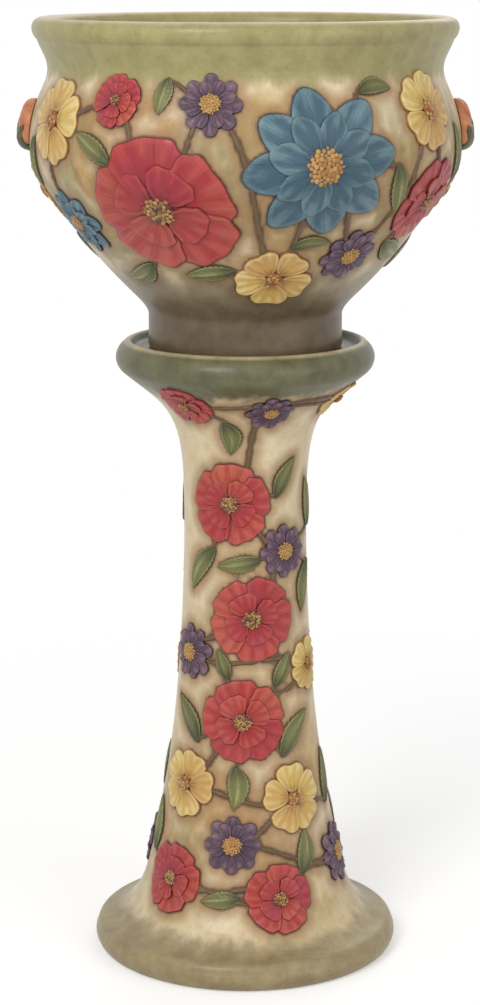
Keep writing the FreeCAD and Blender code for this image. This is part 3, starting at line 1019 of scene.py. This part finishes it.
def shell_glaze(name, s, bands, clouds, crest):
    """The shell's glaze: cream with a brown wash and a dark line round the relief, partly glaze
    gathered there and partly painted shade round the relief, clouds of painted colour, other
    glazes in bands at set heights, the bands at the bowl's foot and on the collar under it
    darkened with painted shade, worn on its crest with a painted highlight there, and bare clay
    where it stands.
    The attribute near is how far the closest relief is, in metres."""
    g = Glaze(name)
    _, _, high = g.split(g.place)
    near, inside, bare = g.named("near"), g.named("inside"), g.named("bare")
    cloud = g.noise(g.place, 14.0, 4.0, 0.6)
    mottle = g.noise(g.place, 62.0, 5.0, 0.62)
    fine = g.noise(g.place, 520.0, 3.0, 0.6)
    drawn = g.scaled(g.place, (1.0, 1.0, 0.14))
    runs = g.noise(drawn, 70.0, 3.0, 0.6)
    strokes = g.noise(drawn, 190.0, 2.0, 0.6)

    cream_deep, wash_and_shade, outline = colours(s, "cream_deep", "wash_and_shade", "outline")

    def pair(colour_name):
        """A glaze, mottled from its deep colour to its thin one."""
        deep_and_thin = colours(s, colour_name + "_deep", colour_name)
        return g.blend(mottle.soft_step(0.2, 0.75), *deep_and_thin)

    def between(low, low_soft, top, top_soft, waver):
        """1 between two heights, each with its softness, and 0 above and below."""
        rising = (high + waver).soft_step(low - low_soft, low + low_soft)
        return rising * (high + waver).soft_step(top + top_soft, top - top_soft)

    shade = pair("cream")
    shade = g.blend(cloud.soft_step(0.45, 0.8) * 0.4, shade, cream_deep)
    shade = g.blend(runs.soft_step(0.55, 0.8) * 0.3, shade, wash_and_shade)
    for number, (colour_name, low, top, soft, strength) in enumerate(clouds):
        spot = g.scaled(g.place, (1.0, 1.0, 0.8), (number * 3.7, 0.0, 0.0))
        patch = g.noise(spot, 17.0, 3.0, 0.55, 0.6).soft_step(0.43, 0.57)
        patch = patch * between(low, soft, top, soft, 0.0) * (0.45 + strokes * 0.8)
        shade = g.blend(patch * strength, shade, pair(colour_name))
    # Brown wash round the relief: partly glaze gathered there, partly painted shade where the
    # relief rises from the wall.
    wash_and_shade_near_relief = near.soft_step(0.013, 0.001) * (0.28 + 0.95 * mottle)
    shade = g.blend(wash_and_shade_near_relief, shade, wash_and_shade)
    # The dark line hard against the relief is partly gathered glaze and partly painted contact
    # shade.
    line = near.soft_step(0.0026, 0.0) * (0.55 + 0.5 * cloud)
    shade = g.blend(line, shade, outline)
    waver = (cloud - 0.5) * 0.010 + (runs - 0.5) * 0.022
    for colour_name, low, low_soft, top, top_soft, strength in bands:
        band = between(low, low_soft, top, top_soft, waver) * (1.0 - inside)
        thin, thick = colours(s, colour_name, colour_name + "_deep")
        glaze = g.blend(strokes.soft_step(0.5, 0.8) * 0.3, pair(colour_name), thin)
        shade = g.blend(band * strength, shade, glaze)
        gathered = band * (1.0 - band) * (0.6 + mottle)
        shade = g.blend(gathered, shade, thick)
    shade = g.blend(inside, shade, pair("lining"))
    shade = g.blend(bare, shade, pair("clay"))
    # Lighter on the crest: partly thin worn glaze, partly a painted highlight along the top.
    worn_glaze_and_highlight = high.soft_step(crest - 0.0032, crest - 0.0004) * (0.1 + mottle)
    shade = g.blend(worn_glaze_and_highlight, shade, cream_deep)
    shade = g.blend(fine.soft_step(0.65, 0.75) * 0.22, shade, outline)
    cracks = g.cells(g.place, 150.0).soft_step(0.0, 0.035)
    shade = g.blend((1.0 - cracks) * 0.13 * (1.0 - bare), shade, outline)
    shade = g.drift(shade, 0.5 + (cloud - 0.5) * 0.02, 0.94 + runs * 0.12, 0.95 + cloud * 0.1)
    roughness = 0.30 + mottle * 0.18 + fine * 0.08 + bare * 0.35
    height = fine * 0.22 + mottle * 0.5 + runs * 0.35 + cracks * 0.14
    return g.finish(shade, roughness, height, gloss=0.16)


# ---------------------------------------------------------------- settings


class ShellSettings(bpy.types.PropertyGroup):
    """Glazes of the bowl and the stand"""

    unevenness: length("Unevenness", "How far the hand-finished wall dips", 0.0007)
    cream: colour("Cream", "Ground glaze", 230, 213, 178)
    cream_deep: colour("Deep cream", "Ground glaze where it lies thick", 212, 190, 149)
    # Wash and outline are partly glaze gathered round the relief and partly painted shade there;
    # they also colour the brush runs, specks and crazing.
    wash_and_shade: colour("Wash", "Brown wash round the relief", 160, 122, 82)
    outline: colour("Outline", "Wash where it gathers against the relief", 78, 56, 42)
    ochre: colour("Ochre", "Painted clouds between the flowers", 200, 158, 88)
    ochre_deep: colour("Deep ochre", "Ochre clouds where they lie thick", 160, 114, 58)
    fern: colour("Fern", "Green painted clouds", 152, 148, 88)
    fern_deep: colour("Deep fern", "Green clouds where they lie thick", 108, 104, 62)
    olive: colour("Olive", "Glaze of the lip", 172, 164, 111)
    olive_deep: colour("Deep olive", "Lip glaze where it lies thick", 148, 139, 92)
    khaki: colour("Khaki", "Glaze of the plinth", 164, 148, 108)
    khaki_deep: colour("Deep khaki", "Plinth glaze where it lies thick", 134, 117, 83)
    # Moss and umber are darker than their glaze alone: they carry painted shade under the bowl.
    moss_and_shade: colour("Moss", "Glaze of the collar under the bowl", 104, 104, 72)
    moss_and_shade_deep: colour("Deep moss", "Collar glaze where it lies thick", 74, 75, 52)
    umber_and_shade: colour("Umber", "Glaze round the bowl's foot", 98, 80, 58)
    umber_and_shade_deep: colour("Deep umber", "Foot glaze where it lies thick", 66, 51, 39)
    lining: colour("Lining", "Glaze inside the bowl", 206, 197, 156)
    lining_deep: colour("Deep lining", "Inside glaze where it lies thick", 178, 168, 124)
    clay: colour("Clay", "Fired clay without glaze", 206, 178, 142)
    clay_deep: colour("Deep clay", "Stained clay without glaze", 168, 136, 102)


class FlowerSettings(bpy.types.PropertyGroup):
    """Relief and glazes of the flowers"""

    relief: length("Relief", "How far the flowers stand out", 0.0041)
    sink: length("Sink", "How deep their backs are pressed in", 0.0012)
    # The light tones also paint a highlight just inside each petal's rim, and the deep tones paint
    # shade where petals start and along their rims.
    poppy: colour("Poppy", "Red petals", 166, 52, 52)
    poppy_deep: colour("Deep poppy", "Red petals where they start", 98, 24, 30)
    poppy_light: colour("Light poppy", "Red petals where the glaze is thin", 188, 84, 76)
    poppy_heart: colour("Poppy heart", "Middle of the red flowers", 84, 50, 46)
    dahlia: colour("Dahlia", "Blue petals", 66, 94, 110)
    dahlia_deep: colour("Deep dahlia", "Blue petals where they start", 28, 44, 60)
    dahlia_light: colour("Light dahlia", "Blue petals where the glaze is thin", 110, 138, 144)
    dahlia_heart: colour("Dahlia heart", "Middle of the blue flowers", 160, 112, 60)
    primrose: colour("Primrose", "Yellow petals", 208, 168, 92)
    primrose_deep: colour("Deep primrose", "Yellow petals where they start", 158, 104, 52)
    primrose_light: colour("Light primrose", "Yellow petals with thin glaze", 228, 202, 142)
    primrose_heart: colour("Primrose heart", "Middle of the yellow flowers", 132, 76, 50)
    aster: colour("Aster", "Purple petals", 86, 62, 80)
    aster_deep: colour("Deep aster", "Purple petals where they start", 46, 32, 48)
    aster_light: colour("Light aster", "Purple petals with thin glaze", 128, 102, 114)
    aster_heart: colour("Aster heart", "Middle of the purple flowers", 170, 124, 68)
    seeds: colour("Seeds", "Seeds on the hearts", 206, 164, 96)


class LeafSettings(bpy.types.PropertyGroup):
    """Relief and glaze of the leaves"""

    rise: length("Rise", "How far the leaves stand out", 0.0028)
    sink: length("Sink", "How deep their backs are pressed in", 0.001)
    # The light tone also paints a highlight just inside each leaf's rim, and the deep tone paints
    # shade at its base and along its rim.
    leaf: colour("Leaf", "Leaf glaze", 116, 116, 68)
    leaf_deep: colour("Deep leaf", "Leaf glaze where it lies thick", 64, 68, 42)
    leaf_light: colour("Light leaf", "Leaf glaze where it runs thin", 164, 158, 104)


class StemSettings(bpy.types.PropertyGroup):
    """Thickness and glaze of the stems"""

    branch: length("Branch", "Half the thickness of a branch", 0.0023)
    twig: length("Twig", "Half the thickness of a twig", 0.0013)
    bury: share("Bury", "Share of its half thickness by which a stem is sunk in the wall", 0.32)
    knots: share("Knots", "How much a stem swells and shrinks along its length", 0.9)
    bark: colour("Bark", "Stem glaze", 108, 82, 58)
    bark_deep: colour("Deep bark", "Stem glaze where it lies thick", 62, 44, 34)
    bark_light: colour("Light bark", "Stem glaze where it runs thin", 148, 128, 84)


class LugSettings(bpy.types.PropertyGroup):
    """Form and glaze of the two lugs"""

    folds: IntProperty(name="Folds", description="Folds round a bud", default=7, min=2)
    depth: share("Depth", "Share of the lug's depth that the bud takes", 0.915, least=0.5)
    # The light bud tone also paints a highlight near the bud's rim.
    sepal: colour("Sepal", "Glaze of the leaves under a bud", 122, 118, 68)
    sepal_deep: colour("Deep sepal", "Glaze under a bud where it lies thick", 72, 70, 42)
    bud: colour("Bud", "Bud glaze", 188, 104, 64)
    bud_deep: colour("Deep bud", "Bud glaze where it lies thick", 146, 62, 42)
    bud_light: colour("Light bud", "Bud glaze where it runs thin", 212, 146, 100)


class StageSettings(bpy.types.PropertyGroup):
    """Floor, lamps and camera"""

    distance: length("Distance", "From the axis to the camera", 2.06)
    height: length("Height", "Camera over the floor", 0.82)
    aim_height: length("Aim height", "Height of the point looked at", 0.375)
    aim_side: length("Aim to the side", "How far that point lies left", 0.0043)
    lens: FloatProperty(name="Lens", description="Focal length", default=92.5, unit="CAMERA")
    floor: length("Floor", "Half the width of the floor", 4.0)
    near_floor: length("Near floor", "From the axis to where the floor starts to fade", 0.22)
    far_floor: length("Far floor", "From the axis to where the floor is pure white", 1.1)
    glow: share("Glow", "What lifts the seen floor to white", 0.40)
    light: power("Light", "Power of the key lamp", 56)
    fill: power("Fill", "Power of the lamp opposite", 20)
    back: power("Back", "Power of the lamp behind", 14)
    ambient: share("Ambient", "Light from all round", 0.42)


# ---------------------------------------------------------------- operators


class JARDINIERE_OT_flowers(bpy.types.Operator):
    """Raised flowers, one for each flower of the frame"""

    bl_idname = "jardiniere.flowers"
    bl_label = "Flowers"

    def execute(self, context):
        s = context.scene.jardiniere_flowers
        tree = flower_form()
        glazes = {
            kind: relief_glaze(f"{kind}_glaze", *tones(s, kind, "heart"), seeds=tuple(s.seeds))
            for kind in FLOWER_FORMS
        }
        number = 0
        for shell in SHELLS:
            for node, place in RELIEF[shell]["flowers"].items():
                kind = flower_kind(node)
                number += 1
                grow(
                    f"{node}_relief", tree, seed_points(node, []), shell, FLOWER_SLOTS[kind],
                    [node], Wall=WALLS[shell].guide, Relief=s.relief, Sink=s.sink, Seed=number,
                    Glaze=glazes[kind], **FLOWER_FORMS[kind], **place,
                )
        return {"FINISHED"}


class JARDINIERE_OT_leaves(bpy.types.Operator):
    """Raised leaves, one piece for each group of leaves of the frame"""

    bl_idname = "jardiniere.leaves"
    bl_label = "Leaves"

    def execute(self, context):
        s = context.scene.jardiniere_leaves
        tree = leaf_form()
        glaze = relief_glaze("leaf_glaze", *tones(s, "leaf"))
        for number, (shell, side) in enumerate((a, b) for a in SHELLS for b in SIDES):
            leaves = RELIEF[shell]["leaves"][side]
            numbers = {key: [leaf[key] for leaf in leaves] for key in leaves[0]}
            node = f"{shell}_leaves_{side}"
            seed = seed_points(node, [ORIGIN] * len(leaves), **numbers)
            grow(
                f"{node}_relief", tree, seed, shell, "leaf_glaze", [node],
                Wall=WALLS[shell].guide, Rise=s.rise, Sink=s.sink, Seed=number, Glaze=glaze,
            )
        return {"FINISHED"}


def surface_tree(shell, besides=None):
    """A search tree of all the pieces made so far that ride with a shell."""
    verts, faces = [], []
    for other in bpy.data.objects:
        if other.get("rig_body") != shell or other == besides or other.name in frame["nodes"]:
            continue
        start = len(verts)
        verts += [v.co for v in other.data.vertices]
        faces += [tuple(i + start for i in p.vertices) for p in other.data.polygons]
    return BVHTree.FromPolygons(verts, faces)


def wandering(wall, relief, start, end, sway, first, last, bury):
    """A bowed stem on the wall between two places, each a turn and a length along: its points,
    and half its thickness at each. It is sunk in the wall by a share of that, and dives under
    whatever relief lies over it or close by."""
    spacing, above, cover, window = 0.0015, 0.02, 1.4, 3
    rad = float(wall.at((start[1] + end[1]) / 2)[0])
    gap = Vector((about(end[0] - start[0]) * rad, end[1] - start[1]))
    side = Vector((-gap.y, gap.x)) * sway
    count = max(8, int(gap.length / spacing))
    poles = [Vector((0, 0)), gap * 0.3 + side, gap * 0.7 - side * 0.6, gap]
    spots, thick, room = [], [], []
    for i, point in enumerate(b_spline(poles, count)):
        spot = start[0] + point.x / rad, start[1] + point.y
        half = first + (last - first) * i / count
        high = wall.place(*spot, above)
        _, _, _, depth = relief.ray_cast(high, wall.place(*spot, 0.0) - high, above)
        spots.append(spot)
        thick.append(half)
        room.append(None if depth is None else above - depth - half * cover)
    line = []
    for i, (spot, half) in enumerate(zip(spots, thick)):
        over = -half * bury
        if room[i] is not None:
            nearby = room[max(0, i - window) : i + window + 1]
            over = min(over, *(r for r in nearby if r is not None))
        line.append(wall.place(*spot, over))
    return line, thick


class JARDINIERE_OT_stems(bpy.types.Operator):
    """Branches that wander from flower to flower, and twigs that carry the leaves"""

    bl_idname = "jardiniere.stems"
    bl_label = "Stems"

    # How far each branch in turn bows to a side, as a share of its length. Twigs bow less.
    SWAYS = (0.16, -0.12, 0.2, -0.18)
    TWIG_SWAY = 0.12
    # Where a twig meets its leaf: the share of the leaf's length from its middle.
    TWIG_END = 0.44
    # How much thinner a branch is at its far end.
    TAPER = 0.8
    # Length between two rings of a stem's mesh.
    STEP = 0.0018

    def execute(self, context):
        s = context.scene.jardiniere_stems
        tree = stem_form()
        glaze = relief_glaze("bark_glaze", *tones(s, "bark"))
        for shell in SHELLS:
            relief = surface_tree(shell)
            for side in SIDES:
                name = f"{shell}_stems_{side}"
                points, edges, thick = [], [], []
                for stems in (self.branches, self.twigs):
                    for line, halves in stems(shell, side, relief, s):
                        start = len(points)
                        points += line
                        edges += [(start + i, start + i + 1) for i in range(len(line) - 1)]
                        thick += halves
                seed = seed_points(name, points, edges, thick=thick)
                grow(
                    name, tree, seed, shell, "leaf_glaze",
                    Step=self.STEP, Knots=s.knots, Glaze=glaze,
                )
        return {"FINISHED"}

    def flowers(self, shell, side):
        return [f for n, f in RELIEF[shell]["flowers"].items() if n.endswith(side)]

    def branches(self, shell, side, relief, s):
        """From each flower to the next, round the bowl or up the stand."""
        front = 0.0 if side == "front" else math.pi
        orders = {"bowl": lambda f: about(f["Turn"] - front), "stand": lambda f: f["Along"]}
        order = sorted(self.flowers(shell, side), key=orders[shell])
        for number, pair in enumerate(zip(order, order[1:])):
            sway = self.SWAYS[number % len(self.SWAYS)]
            ends = [(f["Turn"], f["Along"]) for f in pair]
            widths = s.branch, s.branch * self.TAPER
            yield wandering(WALLS[shell], relief, *ends, sway, *widths, s.bury)

    def twigs(self, shell, side, relief, s):
        """From the nearest flower to the start of each leaf."""
        for number, leaf in enumerate(RELIEF[shell]["leaves"][side]):
            rad = float(WALLS[shell].at(leaf["along"])[0])
            half = leaf["long"] * self.TWIG_END
            base = (
                leaf["turn"] - half * math.cos(leaf["way"]) / rad,
                leaf["along"] - half * math.sin(leaf["way"]),
            )
            near = min(self.flowers(shell, side), key=lambda f: to_edge(f, *base, rad))
            sway = self.TWIG_SWAY if number % 2 else -self.TWIG_SWAY
            heart = near["Turn"], near["Along"]
            widths = s.branch * self.TAPER, s.twig
            yield wandering(WALLS[shell], relief, heart, base, sway, *widths, s.bury)


class JARDINIERE_OT_lugs(bpy.types.Operator):
    """The two bud-shaped lugs on the shoulder"""

    bl_idname = "jardiniere.lugs"
    bl_label = "Lugs"

    # How full a bud is: the power its dome falls off with.
    FULLNESS = 2.6
    # Turns of the sepals from upright, in degrees.
    SEPALS = (-38, 0, 38)

    def execute(self, context):
        s = context.scene.jardiniere_lugs
        names = ("bud", "bud_deep", "bud_light", "sepal", "sepal_deep")
        glaze = relief_glaze("lug_glaze", *colours(s, *names))
        wall = WALLS["bowl"]
        for node in ("lug_left", "lug_right"):
            low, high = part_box(node)
            size, middle = high - low, (low + high) / 2
            _, along, _ = wall.unroll(np.array([[middle.x, 0, middle.z]]))
            turn = math.copysign(math.pi / 2, middle.x)
            rad = float(wall.at(along[0])[0])
            proud = (max(abs(low.x), abs(high.x)) - rad) * s.depth

            def spot(right, up, over):
                return wall.place(turn + right / rad, along[0] + up, over)

            bm = bmesh.new()
            self.form(bm, spot, 40, 96, self.bud(size.y * 0.43, size.z * 0.48, proud, s.folds))
            for way in self.SEPALS:
                self.form(bm, spot, 22, 20, self.sepal(size, proud, math.radians(way)))
            bmesh.ops.remove_doubles(bm, verts=bm.verts, dist=TOUCHING)
            bmesh.ops.recalc_face_normals(bm, faces=bm.faces)
            mesh = bpy.data.meshes.new(f"{node}_bud")
            bm.to_mesh(mesh)
            bm.free()
            mesh.materials.append(glaze)
            mesh.shade_smooth()
            piece = bpy.data.objects.new(f"{node}_bud", mesh)
            context.scene.collection.objects.link(piece)
            settle(piece, "bowl", "lug_glaze", [node])
        return {"FINISHED"}

    def form(self, bm, spot, rows, columns, shape):
        """A closed form in rings from its middle or foot. The shape gives each point's place,
        right, up and over, and what the glaze follows there."""
        names = ("reach", "across", "edge", "ridge", "heart", "petal")
        layers = [bm.verts.layers.float.get(n) or bm.verts.layers.float.new(n) for n in names]
        sheet = []
        for i in range(rows + 1):
            line = []
            for j in range(columns):
                place, kept = shape(i / rows, FULL_TURN * j / columns)
                vert = bm.verts.new(spot(*place))
                for layer, value in zip(layers, kept):
                    vert[layer] = value
                line.append(vert)
            sheet.append(line)
        for inner, outer in zip(sheet, sheet[1:]):
            for j in range(columns):
                k = (j + 1) % columns
                bm.faces.new((inner[j], outer[j], outer[k], inner[k]))

    def bud(self, half_wide, half_tall, proud, folds):
        """A round bud whose folds turn as they run outwards. Its last rows close it behind."""
        front, twisted, sunk = 0.85, 1.1, 0.002

        def shape(row, angle):
            top = min(row / front, 1.0)
            under = max(row - front, 0.0) / (1 - front)
            ring = max(0.0, math.sin(top * math.pi / 2) * (1 - under))
            twist = angle + ring * twisted
            fold = abs(math.sin(twist * folds / 2))
            spread = 1 - 0.05 * (1 - fold) * ring
            dome = math.sqrt(max(0.0, 1 - ring**self.FULLNESS))
            over = proud * dome * (0.80 + 0.20 * fold * (0.3 + 0.7 * ring)) * (1 - under)
            over = min(over, proud * (0.97 - 0.05 * ring)) - sunk * under
            narrow = 1 - 0.12 * math.sin(angle) * ring
            right = half_wide * ring * math.cos(angle) * spread * narrow
            up = half_tall * ring * math.sin(angle) * spread
            kept = 0.25 + ring * 0.6, math.cos(twist), ring * 0.9, fold, 0.0, 0.3
            return (right, up, over), kept

        return shape

    def sepal(self, size, proud, slant):
        """A pointed sepal with a rib, which holds the bud from below."""
        long, wide, thick, rib_high = size.z * 0.60, size.y * 0.30, 0.0016, 0.0008

        def shape(row, angle):
            v, lift = math.cos(angle), math.sin(angle)
            swell = math.sin(math.pi * row**0.7) ** 0.8 if 0 < row < 1 else 0.0
            x, y = row * long, v * wide / 2 * swell
            right = x * math.sin(slant) + y * math.cos(slant)
            up = x * math.cos(slant) - y * math.sin(slant) - size.z * 0.5
            out = min(1.0, math.hypot(right / (size.y * 0.45), up / (size.z * 0.5)))
            over = proud * 0.86 * math.sqrt(max(0.0, 1 - out**self.FULLNESS))
            if lift > 0:
                over += thick * swell * lift**0.5 + rib_high * math.exp(-(v * v) * 18) * swell
            else:
                over -= 0.0015 * swell
            return (right, up, min(over, proud * 0.985)), (0.2, v, abs(v), 0.2, 1.0, 0.8)

        return shape


class JARDINIERE_OT_shells(bpy.types.Operator):
    """The turned shells of the bowl and the stand"""

    bl_idname = "jardiniere.shells"
    bl_label = "Shells"

    # Painted bands: glaze, from, softness, to, softness, strength. Heights are in metres, and
    # a band that runs on past the shell's end starts or ends outside it.
    BANDS = {
        "bowl": [
            ("olive", 0.722, 0.005, 0.80, 0.01, 0.97),
            # The umber band is partly glaze and partly painted shade where the bowl's foot sits
            # over the collar.
            ("umber_and_shade", 0.40, 0.001, 0.562, 0.024, 0.92),
        ],
        "stand": [
            ("khaki", -0.05, 0.001, 0.031, 0.007, 0.95),
            # The moss band is partly glaze and partly painted shade under the bowl.
            ("moss_and_shade", 0.476, 0.005, 0.60, 0.001, 0.96),
        ],
    }
    # Painted clouds between the flowers: glaze, from, to, softness, strength.
    CLOUDS = {
        "bowl": [("ochre", 0.59, 0.710, 0.015, 0.95), ("fern", 0.565, 0.70, 0.02, 0.75)],
        "stand": [("ochre", 0.05, 0.20, 0.04, 0.75), ("fern", 0.04, 0.14, 0.03, 0.45)],
    }

    def execute(self, context):
        s = context.scene.jardiniere_shells
        tree = shell_form()
        for shell, section in (("stand", stand_section()), ("bowl", bowl_section())):
            if shell == "stand":
                section = section + section[:1]
            points = [(p.x * MM, 0.0, p.y * MM) for p, _, _ in section]
            seed = seed_points(
                shell, points,
                inside=[i for _, i, _ in section], bare=[b for _, _, b in section],
            )
            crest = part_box(shell)[1].z
            glaze = shell_glaze(f"{shell}_glaze", s, self.BANDS[shell], self.CLOUDS[shell], crest)
            piece = grow(
                f"{shell}_shell", tree, seed, shell, "cream_glaze", [shell],
                Points=len(points), Unevenness=s.unevenness, Glaze=glaze,
            )
            self.mark_relief(piece, shell)
        return {"FINISHED"}

    def mark_relief(self, piece, shell):
        """Stores on the shell how far each point of it is from the nearest raised piece."""
        relief = surface_tree(shell, besides=piece)
        far = 0.05
        hits = (relief.find_nearest(vert.co, far) for vert in piece.data.vertices)
        near = [far if distance is None else distance for _, _, _, distance in hits]
        layer = piece.data.attributes.new("near", "FLOAT", "POINT")
        layer.data.foreach_set("value", near)


class JARDINIERE_OT_stage(bpy.types.Operator):
    """Floor, lamps, world and camera"""

    bl_idname = "jardiniere.stage"
    bl_label = "Stage"

    # Lamps: the setting of their power, their place, and how wide they are.
    LAMPS = {
        "key_lamp": ("light", (-1.25, -2.6, 2.3), 1.5),
        "fill_lamp": ("fill", (2.2, -2.2, 1.2), 2.4),
        "back_lamp": ("back", (0.5, 2.4, 2.2), 2.0),
    }
    LAMP_AIM = (0, 0, 0.4)
    PAPER = (0.80, 0.80, 0.79, 1)
    WHITE = (1, 1, 1, 1)
    # The floor lies this far under the foot, so that the two never share a surface.
    FLOOR_DROP = 0.0004
    SENSOR_WIDTH = 36

    def execute(self, context):
        s = context.scene.jardiniere_stage
        scene = context.scene
        scene.view_settings.view_transform = "Standard"
        self.floor(scene, s)
        self.world(scene, s)
        for name, (setting, place, size) in self.LAMPS.items():
            lamp = bpy.data.lights.new(name, "AREA")
            lamp.shape = "DISK"
            lamp.size = size
            lamp.energy = getattr(s, setting)
            self.point(scene, name, lamp, place, self.LAMP_AIM)
        camera = bpy.data.cameras.new("camera")
        camera.lens = s.lens
        camera.sensor_width = self.SENSOR_WIDTH
        camera.sensor_fit = "AUTO"
        place, aim = (0, -s.distance, s.height), (-s.aim_side, 0, s.aim_height)
        scene.camera = self.point(scene, "camera", camera, place, aim)
        return {"FINISHED"}

    def point(self, scene, name, data, place, aim):
        """Sets a lamp or camera in its place and points it at its aim."""
        thing = bpy.data.objects.new(name, data)
        thing.location = place
        way = Vector(aim) - thing.location
        thing.rotation_euler = way.to_track_quat("-Z", "Y").to_euler()
        scene.collection.objects.link(thing)
        return thing

    def floor(self, scene, s):
        """Pale paper that keeps the shadow and fades to pure white further out."""
        mesh = bpy.data.meshes.new("floor")
        around = ((-1, -1), (1, -1), (1, 1), (-1, 1))
        corners = [(x * s.floor, y * s.floor, -self.FLOOR_DROP) for x, y in around]
        mesh.from_pydata(corners, [], [(0, 1, 2, 3)])
        floor = bpy.data.objects.new("floor", mesh)
        scene.collection.objects.link(floor)
        g = Glaze("floor_paper")
        seen = g.seen("Camera", "Glossy")
        matt = g.run("ShaderNodeBsdfDiffuse", {"Color": self.PAPER})
        glow = g.run("ShaderNodeEmission", {"Strength": seen * s.glow})
        both = g.run("ShaderNodeAddShader", {0: matt, 1: glow})
        white = g.run("ShaderNodeEmission", {"Strength": 1.0})
        x, y, _ = g.split(g.place)
        away = (x * x + y * y).root().soft_step(s.near_floor, s.far_floor) * seen
        surface = g.run("ShaderNodeMixShader", {0: away, 1: both, 2: white})
        g.run("ShaderNodeOutputMaterial", {"Surface": surface})
        mesh.materials.append(g.material)
        floor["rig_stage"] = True

    def world(self, scene, s):
        """Light from all round, which is seen as pure white."""
        world = bpy.data.worlds.new("studio")
        world.use_nodes = True
        world.node_tree.nodes.clear()
        t = Tree(world.node_tree)
        seen = t.seen("Camera", "Glossy", "Transmission")
        strength = seen * (1.0 - s.ambient) + s.ambient
        back = t.run("ShaderNodeBackground", {"Strength": strength, "Color": self.WHITE})
        t.run("ShaderNodeOutputWorld", {"Surface": back})
        scene.world = world


class JARDINIERE_PT_panel(bpy.types.Panel):
    """Settings and steps of the jardiniere"""

    bl_label = "Jardiniere on stand"
    bl_idname = "JARDINIERE_PT_panel"
    bl_space_type = "VIEW_3D"
    bl_region_type = "UI"
    bl_category = "Jardiniere"

    def draw(self, context):
        for step in STEPS:
            box = self.layout.box()
            box.operator(f"jardiniere.{step}")
            settings = getattr(context.scene, f"jardiniere_{step}")
            for name in settings.__annotations__:
                box.prop(settings, name)


STEPS = {
    "flowers": (FlowerSettings, JARDINIERE_OT_flowers),
    "leaves": (LeafSettings, JARDINIERE_OT_leaves),
    "stems": (StemSettings, JARDINIERE_OT_stems),
    "lugs": (LugSettings, JARDINIERE_OT_lugs),
    "shells": (ShellSettings, JARDINIERE_OT_shells),
    "stage": (StageSettings, JARDINIERE_OT_stage),
}


def register():
    """Makes the settings, the steps and the panel known, and adds the settings to the scene."""
    for step, (settings, operator) in STEPS.items():
        bpy.utils.register_class(settings)
        bpy.utils.register_class(operator)
        setattr(bpy.types.Scene, f"jardiniere_{step}", PointerProperty(type=settings))
    bpy.utils.register_class(JARDINIERE_PT_panel)


def unregister():
    """Takes back what register does, in the other order."""
    bpy.utils.unregister_class(JARDINIERE_PT_panel)
    for step, (settings, operator) in reversed(STEPS.items()):
        delattr(bpy.types.Scene, f"jardiniere_{step}")
        bpy.utils.unregister_class(operator)
        bpy.utils.unregister_class(settings)


def main():
    """Builds the whole scene."""
    register()
    survey()
    for step in STEPS:
        getattr(bpy.ops.jardiniere, step)()
    bpy.context.view_layer.update()
    boxes = {"cad": CAD_BOX, "visual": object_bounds()}
    {k: [list(corner) for corner in box] for k, box in boxes.items()}


if __name__ == "__main__":
    main()
